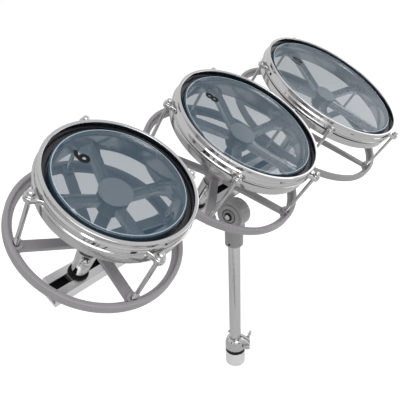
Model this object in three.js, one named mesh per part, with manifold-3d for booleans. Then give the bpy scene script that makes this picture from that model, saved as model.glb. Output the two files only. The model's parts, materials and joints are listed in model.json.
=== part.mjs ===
// A set of three tuned frame drums on one slotted rail, carried by a tilter on a stand tube.
// Millimetres, +Z up. The origin is the centre of the flat lower end of the lower tube,
// +X runs along the rail towards the largest drum and +Y points away from the player.
import * as THREE from 'three';
import { mergeVertices } from 'three/addons/utils/BufferGeometryUtils.js';
import Module from 'manifold-3d';

const wasm = await Module();
wasm.setup();

// Sizes shared by the whole set
const CLEAR = 0.3;              // gap between pieces that touch
const CUT = 2;                  // overrun of every cutting tool
const WELD = 1e-4;              // corners closer than this are one corner
const RING_SIDES = 28;          // facets round a drum
const DISC_SIDES = 24;
const TUBE_SIDES = 20;
const POST_SIDES = 12;
const BOSS_SIDES = 8;
const ROD_SIDES = 6;

// Nominal head diameters, the middle drum's place along the rail, and the gaps between the lower rings
const SMALL_HEAD = 152.4;
const MIDDLE_HEAD = 203.2;
const LARGE_HEAD = 254;
const MIDDLE_PLACE = -109;
const SMALL_GAP = 20.2;
const LARGE_GAP = 8.4;

// Stand
const TUBE_RADIUS = 12;
const TUBE_WALL = 1.5;
const TUBE_FOOT = 4;            // the upper tube's lower end, above the lower tube's end
const LOWER_TUBE_RADIUS = 20.5;
const LOWER_TUBE_HEIGHT = 30;
const BUSH_FLANGE_RADIUS = 20.5;
const BUSH_FLANGE_HEIGHT = 8;
const BUSH_SLEEVE_RADIUS = 15.5;
const BUSH_SLEEVE_DEPTH = 20;
const COLLAR_RADIUS = 21;
const COLLAR_HEIGHT = 25;
const COLLAR_WALL_HEIGHT = 8;   // straight part under the dome
const COLLAR_TOP_RADIUS = 13.8;
const COLLAR_LUG_REACH = 31;    // from the tube's axis to the end of the two clamp lugs
const COLLAR_LUG_WIDTH = 20;
const COLLAR_LUG_DROP = 7;      // how far the lugs' top falls towards their end
const COLLAR_SLIT = 2.6;
const COLLAR_LUG_TURN = -60;    // degrees from +X, seen from above
const WING_BOLT_RADIUS = 3;
const WING_BOLT_REACH = 25;     // from the tube's axis
const WING_BOLT_HEIGHT = 8;     // above the collar's lower face
const WING_BOLT_HEAD_RADIUS = 5.5;
const WING_BOLT_HEAD = 4;
const WING_BOSS_RADIUS = 5.5;
const WING_BOSS = 8;
const WING_FOOT = 3;            // from the lug to the foot of the wings
const WING_SPAN = 15;           // from the bolt's axis to a wing's tip
const WING_THICKNESS = 4;
const WING_HEIGHT = 13;
const WING_TURN = -60;          // degrees, how the wings stand when tight
const STOP_PIN_RADIUS = 2.4;
const STOP_PIN_REACH = 4.2;
const STOP_PIN_ABOVE_COLLAR = 14;
const STOP_PIN_TURN = 127;

// Tilter
const PIVOT_HEIGHT = 354;
const TILT = 34;                // degrees, the heads lean towards the player
const DISC_RADIUS = 27.5;
const DISC_THICKNESS = 15;
const DISC_STEP = 2.2;          // height of each raised ring on the disc
const DISC_STEP_RADIUS = 22;
const DISC_HUB_RADIUS = 9.5;
const SLEEVE_RADIUS = 17.8;
const SLEEVE_BOTTOM = 68;       // below the pivot
const SLEEVE_TOP = 30;
const SLEEVE_CHAMFER = 3;
const NECK_WIDTH = 31;
const ARM_SIDE_SHARE = 0.8;     // where the upper casting's arm leaves the disc, of its radius
const ARM_TIP_SHARE = 0.55;
const SET_SCREW_RADIUS = 2.6;
const SET_SCREW_INSET = 1;
const SET_SCREW_HEIGHT = 8;     // above the sleeve's lower end
const SET_SCREW_TURN = 180;
const TILT_BOLT_RADIUS = 5;
const TILT_BOLT_END = 3;        // how far it stands out of the disc
const KNOB_RADIUS = 15;
const KNOB_THICKNESS = 12;
const KNOB_CORE_RADIUS = 11;
const KNOB_BORE_DEPTH = 8;
const KNOB_LOBES = 5;
const KNOB_LOBE_RADIUS = 5;
const LOCK_WASHER_RADIUS = 10;
const LOCK_WASHER_THICKNESS = 1.6;

// Rail and the bracket that carries it
const RAIL_WIDTH = 34;
const RAIL_HEIGHT = 24.4;
const RAIL_WALL = 3;
const RAIL_SLOT = 12;
const RAIL_OVERHANG = 43;       // beyond the axis of the first and last drum
const RAIL_BACK = 37;           // rail centre behind the pivot, square to the drum axes
const RAIL_RISE = 41.2;         // rail centre above the pivot, along the drum axes
const BRACKET_LENGTH = 64;
const BRACKET_THICKNESS = 5;
const BRACKET_BOLT_RADIUS = 3;
const BRACKET_BOLT_HEAD_RADIUS = 5.2;
const BRACKET_BOLT_HEAD = 4;
const BRACKET_BOLT_APART = 46;

// Drum post and rail clamp, heights above the rail's top face
const FOOT_RADIUS = 12.6;       // rubber foot of the clamp, on the rail
const FOOT_THICKNESS = 1.7;
const CLAMP_RADIUS = 10.8;      // at the foot, from where it widens to the mouth
const CLAMP_MOUTH_RADIUS = 13.6;
const CLAMP_HEIGHT = 50;
const CLAMP_SOCKET = 16;        // depth of the socket that the post stands in
const CLAMP_CHAMFER = 1;
const T_BOLT_RADIUS = 4.5;
const T_BOLT_LENGTH = 20;       // above the rail
const T_NUT_WIDTH = 21;
const T_NUT_LENGTH = 28;
const T_NUT_HEIGHT = 6;
const POST_RADIUS = 10.5;
const TUNE_GAP = 3.5;           // under the lower frame's hub, for the tuning travel
const STUD_RADIUS = 8;
const STUD_CLEAR = 0.5;         // running fit of both frames on the stud
const THRUST_RADIUS = 14;       // collar that carries the upper frame's hub
const THRUST_HEIGHT = 6;
const THRUST_CHAMFER = 1.5;
const THUMB_RADIUS = 8;
const THUMB_LENGTH = 8;
const THUMB_EDGE = 1.5;
const THUMB_STEM_RADIUS = 2.6;
const THUMB_HEIGHT = 44;        // above the rail
const THUMB_TURN = 220;         // degrees, on the player's side

// Lower frame
const LOWER_RING_TOP = 98.1;    // above the rail
const LOWER_RING_HEIGHT = 12.5;
const LOWER_RING_WALL = 5.5;
const LOWER_RING_PROUD = 22.5;  // beyond the hoop's inner edge
const LOWER_RING_CHAMFER = 1.2;
const LOWER_LEDGE = 5.2;        // the ledge inside the ring, inwards from its wall
const LOWER_LEDGE_DROP = 8;     // the ledge's top below the ring's top
const LOWER_HUB_RADIUS = 18;
const LOWER_HUB_HEIGHT = 16;
const LOWER_HUB_DROP = 18;      // the hub's top below the ring's top
const LOWER_SPOKE_WIDTH = 12;
const LOWER_SPOKE_RIM_WIDTH = 14;
const LOWER_SPOKE_THICKNESS = 8; // at the hub
const LOWER_SPOKE_FALL = 15;    // from the ledge down to the hub
const LOWER_PAD_WIDTH = 32;
const LOWER_BOSS_RADIUS = 8;    // round boss at each lug
const LOWER_BOSS_DROP = 3;      // its top below the ring's top
const ROD_NUT_RADIUS = 5;
const ROD_NUT_HEIGHT = 4;

// Hoop, heights down from its top
const HOOP_TOP = 184.6;         // above the rail
const HOOP_GAP = 7;             // head edge to the hoop's inner wall
const HOOP_WALL = 1.8;
const HOOP_RIM_PROUD = 4.4;
const HOOP_RIM_DEPTH = 3;
const HOOP_SHOULDER_DEPTH = 9.5;
const HOOP_SKIRT_PROUD = 4.4;   // the skirt's outer face beyond the hoop's inner wall
const HOOP_HEIGHT = 17.5;
const HOOP_FLANGE_PROUD = 6.4;
const HOOP_FLANGE_THICKNESS = 2;
const LUG_PROUD = 13.3;         // lug circle beyond the hoop's inner wall
const EAR_RADIUS = 6.5;
const EAR_TOP_DEPTH = 11;
const ROD_RADIUS = 2.6;
const ROD_CLEAR = 0.5;
const ROD_WASHER_RADIUS = 5.6;
const ROD_WASHER_THICKNESS = 1.2;
const ROD_HEAD_RADIUS = 3.8;
const ROD_HEAD_HEIGHT = 5;
const ROD_HEAD_CHAMFER = 1.4;

// Head and flesh hoop
const HEAD_DEPTH = 3.4;         // head below the hoop's top
const FILM = 0.6;
const FILM_SKIRT = 12.5;
const FLESH_WIDTH = 8;
const FLESH_HEIGHT = 5.5;

// Upper frame
const SHELL_WALL = 4.5;
const SHELL_EDGE = 1.5;         // radius-like chamfer of the bearing edge
const BAND_PROUD = 4;           // the polished band beyond the hoop's inner wall
const BAND_TOP_DEPTH = 20.5;
const BAND_HEIGHT = 12;
const BAND_WALL = 4;
const UPPER_HUB_RADIUS = 18.5;
const UPPER_HUB_HEIGHT = 20;
const UPPER_HUB_DEPTH = 26.5;   // hub's top face below the hoop's top
const UPPER_SPOKE_HUB_WIDTH = 12;
const UPPER_SPOKE_WAIST_WIDTH = 13;
const UPPER_SPOKE_RIM_WIDTH = 30;
const UPPER_SPOKE_FLARE = 20;   // length of the flare at the rim
const UPPER_SPOKE_DEPTH = 9;
const UPPER_SPOKE_RIDGE = 3;    // height of the ridge above the spoke's shoulders
const CAP_RADIUS = 20;
const CAP_THICKNESS = 3;
const CAP_DOME = 1;

// The three drums: head diameter, place along the rail, lugs and the first lug's turn in degrees
const ringReach = (head) => head / 2 + HOOP_GAP + LOWER_RING_PROUD;
const smallPlace = MIDDLE_PLACE - ringReach(MIDDLE_HEAD) - SMALL_GAP - ringReach(SMALL_HEAD);
const largePlace = MIDDLE_PLACE + ringReach(MIDDLE_HEAD) + LARGE_GAP + ringReach(LARGE_HEAD);
const DRUMS = [
  { name: '6', head: SMALL_HEAD, along: smallPlace, lugs: 4, firstLug: 73 },
  { name: '8', head: MIDDLE_HEAD, along: MIDDLE_PLACE, lugs: 5, firstLug: 66.6 },
  { name: '10', head: LARGE_HEAD, along: largePlace, lugs: 5, firstLug: 65 },
];

// Solids
function geometryOf(solid) {
  const mesh = solid.getMesh();
  const geometry = new THREE.BufferGeometry();
  geometry.setAttribute('position', new THREE.BufferAttribute(new Float32Array(mesh.vertProperties), 3));
  geometry.setIndex(new THREE.BufferAttribute(new Uint32Array(mesh.triVerts), 1));
  return geometry;
}

function signedVolume(position, index) {
  const [a, b, c] = [new THREE.Vector3(), new THREE.Vector3(), new THREE.Vector3()];
  let volume = 0;
  for (let i = 0; i < index.count; i += 3) {
    a.fromBufferAttribute(position, index.getX(i));
    b.fromBufferAttribute(position, index.getX(i + 1));
    c.fromBufferAttribute(position, index.getX(i + 2));
    volume += a.dot(b.cross(c));
  }
  return volume;
}

function solidOf(geometry) {
  const bare = geometry.clone();
  bare.deleteAttribute('normal');
  bare.deleteAttribute('uv');
  const merged = mergeVertices(bare, WELD);
  const index = merged.index;
  const triVerts = new Uint32Array(index.array);
  if (signedVolume(merged.attributes.position, index) < 0) {
    for (let i = 0; i < triVerts.length; i += 3) {
      [triVerts[i + 1], triVerts[i + 2]] = [triVerts[i + 2], triVerts[i + 1]];
    }
  }
  const vertProperties = new Float32Array(merged.attributes.position.array);
  const mesh = new wasm.Mesh({ numProp: 3, vertProperties, triVerts });
  mesh.merge();
  return new wasm.Manifold(mesh);
}

// A turned solid: outline points are [radius, height] and close on themselves or on the axis.
function turned(outline, sides = RING_SIDES) {
  const first = outline[0];
  const points = outline.map(([r, z]) => new THREE.Vector2(r, z));
  if (first[0] > 0 || outline[outline.length - 1][0] > 0) points.push(points[0].clone());
  const geometry = new THREE.LatheGeometry(points, sides);
  return solidOf(geometry.rotateX(Math.PI / 2));
}

function pin(radius, from, to, sides = POST_SIDES) {
  return turned([[0, from], [radius, from], [radius, to], [0, to]], sides);
}

function tube(inner, outer, from, to, sides = POST_SIDES) {
  return turned([[inner, from], [outer, from], [outer, to], [inner, to]], sides);
}

// A flat outline in X and Y, raised from one height to another.
function plate(outline, from, to) {
  const shape = new THREE.Shape(outline.map(([x, y]) => new THREE.Vector2(x, y)));
  const geometry = new THREE.ExtrudeGeometry(shape, { depth: to - from, bevelEnabled: false });
  return solidOf(geometry.translate(0, 0, from));
}

// A quarter of an ellipse that starts level with one corner and ends level with the other.
function quarter(radiusFrom, heightFrom, radiusTo, heightTo, steps = 4) {
  return Array.from({ length: steps + 1 }, (_, k) => {
    const turn = (Math.PI / 2) * (k / steps);
    return [
      radiusTo + (radiusFrom - radiusTo) * Math.cos(turn),
      heightFrom + (heightTo - heightFrom) * Math.sin(turn),
    ];
  });
}

// A solid stretched over sections that all have the same number of corners.
function loft(sections) {
  const corners = sections[0].length;
  const last = (sections.length - 1) * corners;
  const faces = [];
  for (let s = 0; s < sections.length - 1; s += 1) {
    for (let k = 0; k < corners; k += 1) {
      const [a, b] = [s * corners + k, s * corners + ((k + 1) % corners)];
      faces.push(a, b, b + corners, a, b + corners, a + corners);
    }
  }
  for (let k = 1; k < corners - 1; k += 1) {
    faces.push(0, k + 1, k, last, last + k, last + k + 1);
  }
  const geometry = new THREE.BufferGeometry();
  geometry.setAttribute('position', new THREE.BufferAttribute(new Float32Array(sections.flat(2)), 3));
  geometry.setIndex(faces);
  return solidOf(geometry);
}

function block(width, depth, height, x, y, z) {
  return solidOf(new THREE.BoxGeometry(width, depth, height).translate(x, y, z));
}

function moved(solid, x, y, z) {
  return solid.translate([x, y, z]);
}

function turnedAbout(solid, axis, degrees) {
  const angles = { x: [degrees, 0, 0], y: [0, degrees, 0], z: [0, 0, degrees] };
  return solid.rotate(angles[axis]);
}

function joined(solids) {
  return solids.reduce((whole, solid) => whole.add(solid));
}

function aroundAxis(solid, count, first) {
  const step = 360 / count;
  return Array.from({ length: count }, (_, k) => turnedAbout(solid, 'z', first + k * step));
}

// Finishes
const CHROME = { color: 0xc9cbce, roughness: 0.16, metalness: 1 };
const CASTING = { color: 0x8b898c, roughness: 0.55, metalness: 0.35 };
const RAIL_METAL = { color: 0xb9b8ba, roughness: 0.4, metalness: 0.8 };
const TUBE_METAL = { color: 0xa9a7aa, roughness: 0.3, metalness: 0.9 };
const FILM_SMOKE = { color: 0x6f8494, roughness: 0.12, metalness: 0, transparent: true, opacity: 0.55 };
const STEEL = { color: 0x77777a, roughness: 0.4, metalness: 0.9 };
const BLACK = { color: 0x0b0b0c, roughness: 0.5, metalness: 0 };

function piece(name, solid, finish) {
  const mesh = new THREE.Mesh(geometryOf(solid), new THREE.MeshStandardMaterial(finish));
  mesh.name = name;
  return mesh;
}

const set = new THREE.Group();

// Stand: lower tube, bush, height clamp, upper tube
const lowerTubeBore = BUSH_SLEEVE_RADIUS + CLEAR;
set.add(piece('lower_tube', tube(lowerTubeBore, LOWER_TUBE_RADIUS, 0, LOWER_TUBE_HEIGHT, TUBE_SIDES), TUBE_METAL));

const bushBottom = LOWER_TUBE_HEIGHT + CLEAR;
const bushTop = bushBottom + BUSH_FLANGE_HEIGHT;
const tubeBore = TUBE_RADIUS + CLEAR;
set.add(piece('height_bush', turned([
  [tubeBore, bushBottom - BUSH_SLEEVE_DEPTH],
  [BUSH_SLEEVE_RADIUS, bushBottom - BUSH_SLEEVE_DEPTH],
  [BUSH_SLEEVE_RADIUS, bushBottom],
  [BUSH_FLANGE_RADIUS, bushBottom],
  [BUSH_FLANGE_RADIUS, bushTop],
  [tubeBore, bushTop],
], TUBE_SIDES), BLACK));

const collarBottom = bushTop + CLEAR;
const collarTop = collarBottom + COLLAR_HEIGHT;
const wingBoltHeight = collarBottom + WING_BOLT_HEIGHT;

function clampCollar() {
  const dome = quarter(COLLAR_RADIUS, collarBottom + COLLAR_WALL_HEIGHT, COLLAR_TOP_RADIUS, collarTop);
  const body = turned([[0, collarBottom], [COLLAR_RADIUS, collarBottom], ...dome, [0, collarTop]], TUBE_SIDES);
  const lugTop = collarTop - COLLAR_LUG_DROP;
  const side = plate([
    [0, collarBottom], [COLLAR_LUG_REACH, collarBottom], [COLLAR_LUG_REACH, lugTop - COLLAR_LUG_DROP],
    [WING_BOLT_REACH, lugTop], [COLLAR_TOP_RADIUS, collarTop - CLEAR], [0, collarTop - CLEAR],
  ], -COLLAR_LUG_WIDTH / 2, COLLAR_LUG_WIDTH / 2);
  const lugs = turnedAbout(side, 'x', 90);
  const bore = pin(tubeBore, collarBottom - CUT, collarTop + CUT, TUBE_SIDES);
  const slit = block(COLLAR_LUG_REACH + CUT, COLLAR_SLIT, COLLAR_HEIGHT + CUT,
    (COLLAR_LUG_REACH + CUT) / 2, 0, (collarBottom + collarTop) / 2);
  const boltHole = wingPlace(pin(WING_BOLT_RADIUS + CLEAR, -COLLAR_LUG_WIDTH, COLLAR_LUG_WIDTH, BOSS_SIDES));
  return body.add(lugs).subtract(bore).subtract(slit).subtract(boltHole);
}

function wingPlace(solid) {
  return moved(turnedAbout(solid, 'x', -90), WING_BOLT_REACH, 0, wingBoltHeight);
}
set.add(piece('height_clamp', turnedAbout(clampCollar(), 'z', COLLAR_LUG_TURN), CHROME));

function wingBolt() {
  const face = COLLAR_LUG_WIDTH / 2 + CLEAR;
  const shank = pin(WING_BOLT_RADIUS, -face - WING_BOLT_HEAD, face, ROD_SIDES);
  const nut = pin(WING_BOLT_HEAD_RADIUS, -face - WING_BOLT_HEAD, -face, ROD_SIDES);
  const boss = pin(WING_BOSS_RADIUS, face, face + WING_BOSS, BOSS_SIDES);
  const outline = plate([
    [0, 0], [WING_SPAN / 2, 0], [WING_SPAN, WING_THICKNESS],
    [WING_SPAN, WING_HEIGHT], [WING_SPAN / 2, WING_HEIGHT - WING_THICKNESS / 2], [0, WING_THICKNESS],
  ], -WING_THICKNESS / 2, WING_THICKNESS / 2);
  const wing = moved(turnedAbout(outline, 'x', 90), 0, 0, face + WING_FOOT);
  const wings = turnedAbout(wing.add(turnedAbout(wing, 'z', 180)), 'z', WING_TURN);
  return joined([shank, nut, boss, wings]);
}
set.add(piece('height_wing_bolt', turnedAbout(wingPlace(wingBolt()), 'z', COLLAR_LUG_TURN), CHROME));

const sleeveBottom = PIVOT_HEIGHT - SLEEVE_BOTTOM;
const sleeveTop = PIVOT_HEIGHT - SLEEVE_TOP;
const sleeveFloor = sleeveTop - SLEEVE_CHAMFER;
const stopPinHeight = collarTop + STOP_PIN_ABOVE_COLLAR;

function acrossTube(solid, height, degrees) {
  return turnedAbout(moved(facingX(solid), 0, 0, height), 'z', degrees);
}

function facingX(solid) {
  return turnedAbout(solid, 'y', 90);
}

function upperTube() {
  const wall = tube(TUBE_RADIUS - TUBE_WALL, TUBE_RADIUS, TUBE_FOOT, sleeveFloor - CLEAR, TUBE_SIDES);
  const hole = pin(STOP_PIN_RADIUS + CLEAR, 0, TUBE_RADIUS + CUT, ROD_SIDES);
  return wall.subtract(acrossTube(hole, stopPinHeight, STOP_PIN_TURN));
}
set.add(piece('upper_tube', upperTube(), TUBE_METAL));

const stopPinStart = TUBE_RADIUS - TUBE_WALL - CLEAR;
const stopPin = turned([
  [0, stopPinStart], [STOP_PIN_RADIUS, stopPinStart],
  ...quarter(STOP_PIN_RADIUS, TUBE_RADIUS, 0, TUBE_RADIUS + STOP_PIN_REACH, 3),
], ROD_SIDES);
set.add(piece('stop_pin', acrossTube(stopPin, stopPinHeight, STOP_PIN_TURN), STEEL));

// Tilter: the lower casting sits on the tube, the upper casting carries the rail
const faceGap = CLEAR / 2;
const boltBore = TILT_BOLT_RADIUS + CLEAR;

function tilterLower() {
  const sleeve = turned([
    [0, sleeveBottom], [SLEEVE_RADIUS - SLEEVE_CHAMFER, sleeveBottom],
    [SLEEVE_RADIUS, sleeveBottom + SLEEVE_CHAMFER], [SLEEVE_RADIUS, sleeveTop], [0, sleeveTop],
  ], TUBE_SIDES);
  const cheek = moved(facingX(pin(DISC_RADIUS, faceGap, DISC_THICKNESS, DISC_SIDES)), 0, 0, PIVOT_HEIGHT);
  const neckHeight = SLEEVE_TOP + SLEEVE_CHAMFER;
  const neck = block(DISC_THICKNESS - faceGap, NECK_WIDTH, neckHeight,
    (DISC_THICKNESS + faceGap) / 2, 0, PIVOT_HEIGHT - neckHeight / 2);
  const socket = pin(tubeBore, sleeveBottom - CUT, sleeveFloor, TUBE_SIDES);
  const bore = moved(facingX(pin(boltBore, -CUT, DISC_THICKNESS + CUT)), 0, 0, PIVOT_HEIGHT);
  const screwHole = pin(SET_SCREW_RADIUS + CLEAR, TUBE_RADIUS, SLEEVE_RADIUS + CUT, ROD_SIDES);
  return joined([sleeve, cheek, neck]).subtract(socket).subtract(bore)
    .subtract(acrossTube(screwHole, sleeveBottom + SET_SCREW_HEIGHT, SET_SCREW_TURN));
}
set.add(piece('tilter_lower', tilterLower(), CASTING));

const setScrew = pin(SET_SCREW_RADIUS, TUBE_RADIUS + CLEAR, SLEEVE_RADIUS - SET_SCREW_INSET, ROD_SIDES);
set.add(piece('tilter_set_screw',
  acrossTube(setScrew, sleeveBottom + SET_SCREW_HEIGHT, SET_SCREW_TURN), BLACK));

// Everything above turns with the tilt about the pivot
const tilted = new THREE.Group();
tilted.position.set(0, 0, PIVOT_HEIGHT);
tilted.rotation.x = THREE.MathUtils.degToRad(TILT);
set.add(tilted);

const railBottom = RAIL_RISE - RAIL_HEIGHT / 2;
const railTop = RAIL_RISE + RAIL_HEIGHT / 2;
const bracketTop = railBottom - CLEAR;
const bracketBottom = bracketTop - BRACKET_THICKNESS;
const bracketBolts = [{ name: 'left', side: -1 }, { name: 'right', side: 1 }];

function atBracketBolt(solid, side) {
  return moved(solid, side * BRACKET_BOLT_APART / 2, RAIL_BACK, 0);
}

// Lays a section drawn in Y and Z along X, from one place to another.
function along(section, from, to) {
  return turnedAbout(turnedAbout(plate(section, from, to), 'x', 90), 'z', 90);
}

function tilterUpper() {
  const ringFace = -DISC_THICKNESS - DISC_STEP;
  const hubFace = ringFace - DISC_STEP;
  const disc = facingX(turned([
    [0, hubFace], [DISC_HUB_RADIUS, hubFace], [DISC_HUB_RADIUS, ringFace], [DISC_STEP_RADIUS, ringFace],
    [DISC_STEP_RADIUS, -DISC_THICKNESS], [DISC_RADIUS, -DISC_THICKNESS], [DISC_RADIUS, -faceGap], [0, -faceGap],
  ], DISC_SIDES));
  const halfFoot = RAIL_WIDTH / 2;
  const armSide = DISC_RADIUS * ARM_SIDE_SHARE;
  const armTip = DISC_RADIUS * ARM_TIP_SHARE;
  const arm = along([
    [-armTip, armSide], [RAIL_BACK - halfFoot, bracketTop], [RAIL_BACK + halfFoot, bracketTop],
    [RAIL_BACK + halfFoot, bracketBottom], [armSide, -armTip], [0, 0],
  ], -DISC_THICKNESS, -faceGap);
  const foot = block(BRACKET_LENGTH, RAIL_WIDTH, BRACKET_THICKNESS,
    0, RAIL_BACK, (bracketTop + bracketBottom) / 2);
  const bore = facingX(pin(boltBore, hubFace - CUT, CUT));
  const hole = pin(BRACKET_BOLT_RADIUS + CLEAR, bracketBottom - CUT, bracketTop + CUT, ROD_SIDES);
  const holes = bracketBolts.map(({ side }) => atBracketBolt(hole, side));
  return joined([disc, arm, foot]).subtract(bore).subtract(joined(holes));
}
tilted.add(piece('tilter_upper', tilterUpper(), CASTING));

const tiltBoltStart = -DISC_THICKNESS - 2 * DISC_STEP - TILT_BOLT_END;
const washerStart = DISC_THICKNESS + CLEAR;
const washerEnd = washerStart + LOCK_WASHER_THICKNESS;
const knobStart = washerEnd + CLEAR;
const knobEnd = knobStart + KNOB_THICKNESS;
const tiltBoltEnd = knobStart + KNOB_BORE_DEPTH - CLEAR;

tilted.add(piece('tilter_bolt', facingX(pin(TILT_BOLT_RADIUS, tiltBoltStart, tiltBoltEnd)), STEEL));
tilted.add(piece('tilter_washer', facingX(tube(boltBore, LOCK_WASHER_RADIUS, washerStart, washerEnd)), STEEL));

function tilterKnob() {
  const core = pin(KNOB_CORE_RADIUS, knobStart, knobEnd, DISC_SIDES);
  const lobe = moved(pin(KNOB_LOBE_RADIUS, knobStart, knobEnd, BOSS_SIDES), KNOB_RADIUS - KNOB_LOBE_RADIUS, 0, 0);
  const bore = pin(boltBore, knobStart - CUT, knobStart + KNOB_BORE_DEPTH);
  return facingX(joined([core, ...aroundAxis(lobe, KNOB_LOBES, 0)]).subtract(bore));
}
tilted.add(piece('tilter_knob', tilterKnob(), BLACK));

// Rail: an open channel with a slot along its top
const railStart = DRUMS[0].along - RAIL_OVERHANG;
const railEnd = DRUMS[DRUMS.length - 1].along + RAIL_OVERHANG;

function rail() {
  const half = RAIL_WIDTH / 2;
  const inside = half - RAIL_WALL;
  const slot = RAIL_SLOT / 2;
  const floor = railBottom + RAIL_WALL;
  const ceiling = railTop - RAIL_WALL;
  const channel = moved(along([
    [-half, railBottom], [half, railBottom], [half, railTop], [slot, railTop], [slot, ceiling],
    [inside, ceiling], [inside, floor], [-inside, floor], [-inside, ceiling], [-slot, ceiling],
    [-slot, railTop], [-half, railTop],
  ], railStart, railEnd), 0, RAIL_BACK, 0);
  const hole = pin(BRACKET_BOLT_RADIUS + CLEAR, railBottom - CUT, floor + CUT, ROD_SIDES);
  return channel.subtract(joined(bracketBolts.map(({ side }) => atBracketBolt(hole, side))));
}
tilted.add(piece('rail', rail(), RAIL_METAL));

function bracketBolt() {
  const headTop = bracketBottom - CLEAR;
  const shank = pin(BRACKET_BOLT_RADIUS, headTop, railBottom + RAIL_WALL, ROD_SIDES);
  return shank.add(pin(BRACKET_BOLT_HEAD_RADIUS, headTop - BRACKET_BOLT_HEAD, headTop, ROD_SIDES));
}
for (const { name, side } of bracketBolts) {
  tilted.add(piece(`bracket_bolt_${name}`, atBracketBolt(bracketBolt(), side), STEEL));
}

// One drum, drawn with its post standing at the origin on the rail's top face
const footTop = CLEAR + FOOT_THICKNESS;
const clampTop = footTop + CLAMP_HEIGHT;
const socketFloor = clampTop - CLAMP_SOCKET;
const socketRadius = POST_RADIUS + CLEAR;
const studBore = STUD_RADIUS + STUD_CLEAR;
const lowerRingBottom = LOWER_RING_TOP - LOWER_RING_HEIGHT;
const ledgeTop = LOWER_RING_TOP - LOWER_LEDGE_DROP;
const lowerHubTop = LOWER_RING_TOP - LOWER_HUB_DROP;
const lowerHubBottom = lowerHubTop - LOWER_HUB_HEIGHT;
const postBottom = socketFloor + CLEAR;
const postTop = lowerHubBottom - TUNE_GAP;
const upperHubTop = HOOP_TOP - UPPER_HUB_DEPTH;
const upperHubBottom = upperHubTop - UPPER_HUB_HEIGHT;
const thrustTop = upperHubBottom - CLEAR;
const thrustBottom = thrustTop - THRUST_HEIGHT;
const studTop = upperHubTop - CLEAR;
const skinTop = HOOP_TOP - HEAD_DEPTH;
const skinBottom = skinTop - FILM;

function tBolt() {
  const nutTop = -RAIL_WALL - CLEAR;
  const nut = block(T_NUT_LENGTH, T_NUT_WIDTH, T_NUT_HEIGHT, 0, 0, nutTop - T_NUT_HEIGHT / 2);
  const key = block(T_NUT_LENGTH, RAIL_SLOT - 2 * CLEAR, -nutTop - CLEAR, 0, 0, (nutTop - CLEAR) / 2);
  return joined([nut, key, pin(T_BOLT_RADIUS, nutTop, T_BOLT_LENGTH, BOSS_SIDES)]);
}

function thumbPlace(solid) {
  return turnedAbout(moved(facingX(solid), 0, 0, THUMB_HEIGHT), 'z', THUMB_TURN);
}

function railClamp() {
  const body = turned([
    [0, CLEAR], [FOOT_RADIUS, CLEAR], [FOOT_RADIUS, footTop], [CLAMP_RADIUS, footTop],
    [CLAMP_MOUTH_RADIUS, clampTop - CLAMP_CHAMFER], [CLAMP_MOUTH_RADIUS - CLAMP_CHAMFER, clampTop],
    [socketRadius, clampTop], [socketRadius, socketFloor], [0, socketFloor],
  ], POST_SIDES);
  const bore = pin(T_BOLT_RADIUS + CLEAR, -CUT, T_BOLT_LENGTH + CLEAR, BOSS_SIDES);
  const screwHole = pin(THUMB_STEM_RADIUS + CLEAR, POST_RADIUS - CUT, CLAMP_MOUTH_RADIUS + CUT, BOSS_SIDES);
  return body.subtract(bore).subtract(thumbPlace(screwHole));
}

function thumbScrew() {
  const start = CLAMP_MOUTH_RADIUS + CLEAR;
  const end = start + THUMB_LENGTH;
  return thumbPlace(turned([
    [0, socketRadius], [THUMB_STEM_RADIUS, socketRadius], [THUMB_STEM_RADIUS, start],
    [THUMB_RADIUS - THUMB_EDGE, start], [THUMB_RADIUS, start + THUMB_EDGE],
    ...quarter(THUMB_RADIUS, end - 2 * THUMB_EDGE, 0, end, 4),
  ], BOSS_SIDES));
}

function post() {
  return turned([
    [0, postBottom], [POST_RADIUS, postBottom], [POST_RADIUS, postTop], [STUD_RADIUS, postTop],
    [STUD_RADIUS, thrustBottom], [THRUST_RADIUS - THRUST_CHAMFER, thrustBottom],
    [THRUST_RADIUS, thrustBottom + THRUST_CHAMFER], [THRUST_RADIUS, thrustTop],
    [STUD_RADIUS, thrustTop], [STUD_RADIUS, studTop], [0, studTop],
  ], POST_SIDES);
}

function tensionRod(headRest) {
  const foot = lowerRingBottom - CLEAR - ROD_NUT_HEIGHT;
  const headTop = headRest + ROD_WASHER_THICKNESS + ROD_HEAD_HEIGHT;
  return turned([
    [0, foot], [ROD_NUT_RADIUS, foot], [ROD_NUT_RADIUS, foot + ROD_NUT_HEIGHT],
    [ROD_RADIUS, foot + ROD_NUT_HEIGHT], [ROD_RADIUS, headRest], [ROD_WASHER_RADIUS, headRest],
    [ROD_WASHER_RADIUS, headRest + ROD_WASHER_THICKNESS], [ROD_HEAD_RADIUS, headRest + ROD_WASHER_THICKNESS],
    [ROD_HEAD_RADIUS, headTop - ROD_HEAD_CHAMFER], [ROD_HEAD_RADIUS - ROD_HEAD_CHAMFER, headTop], [0, headTop],
  ], ROD_SIDES);
}

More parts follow.
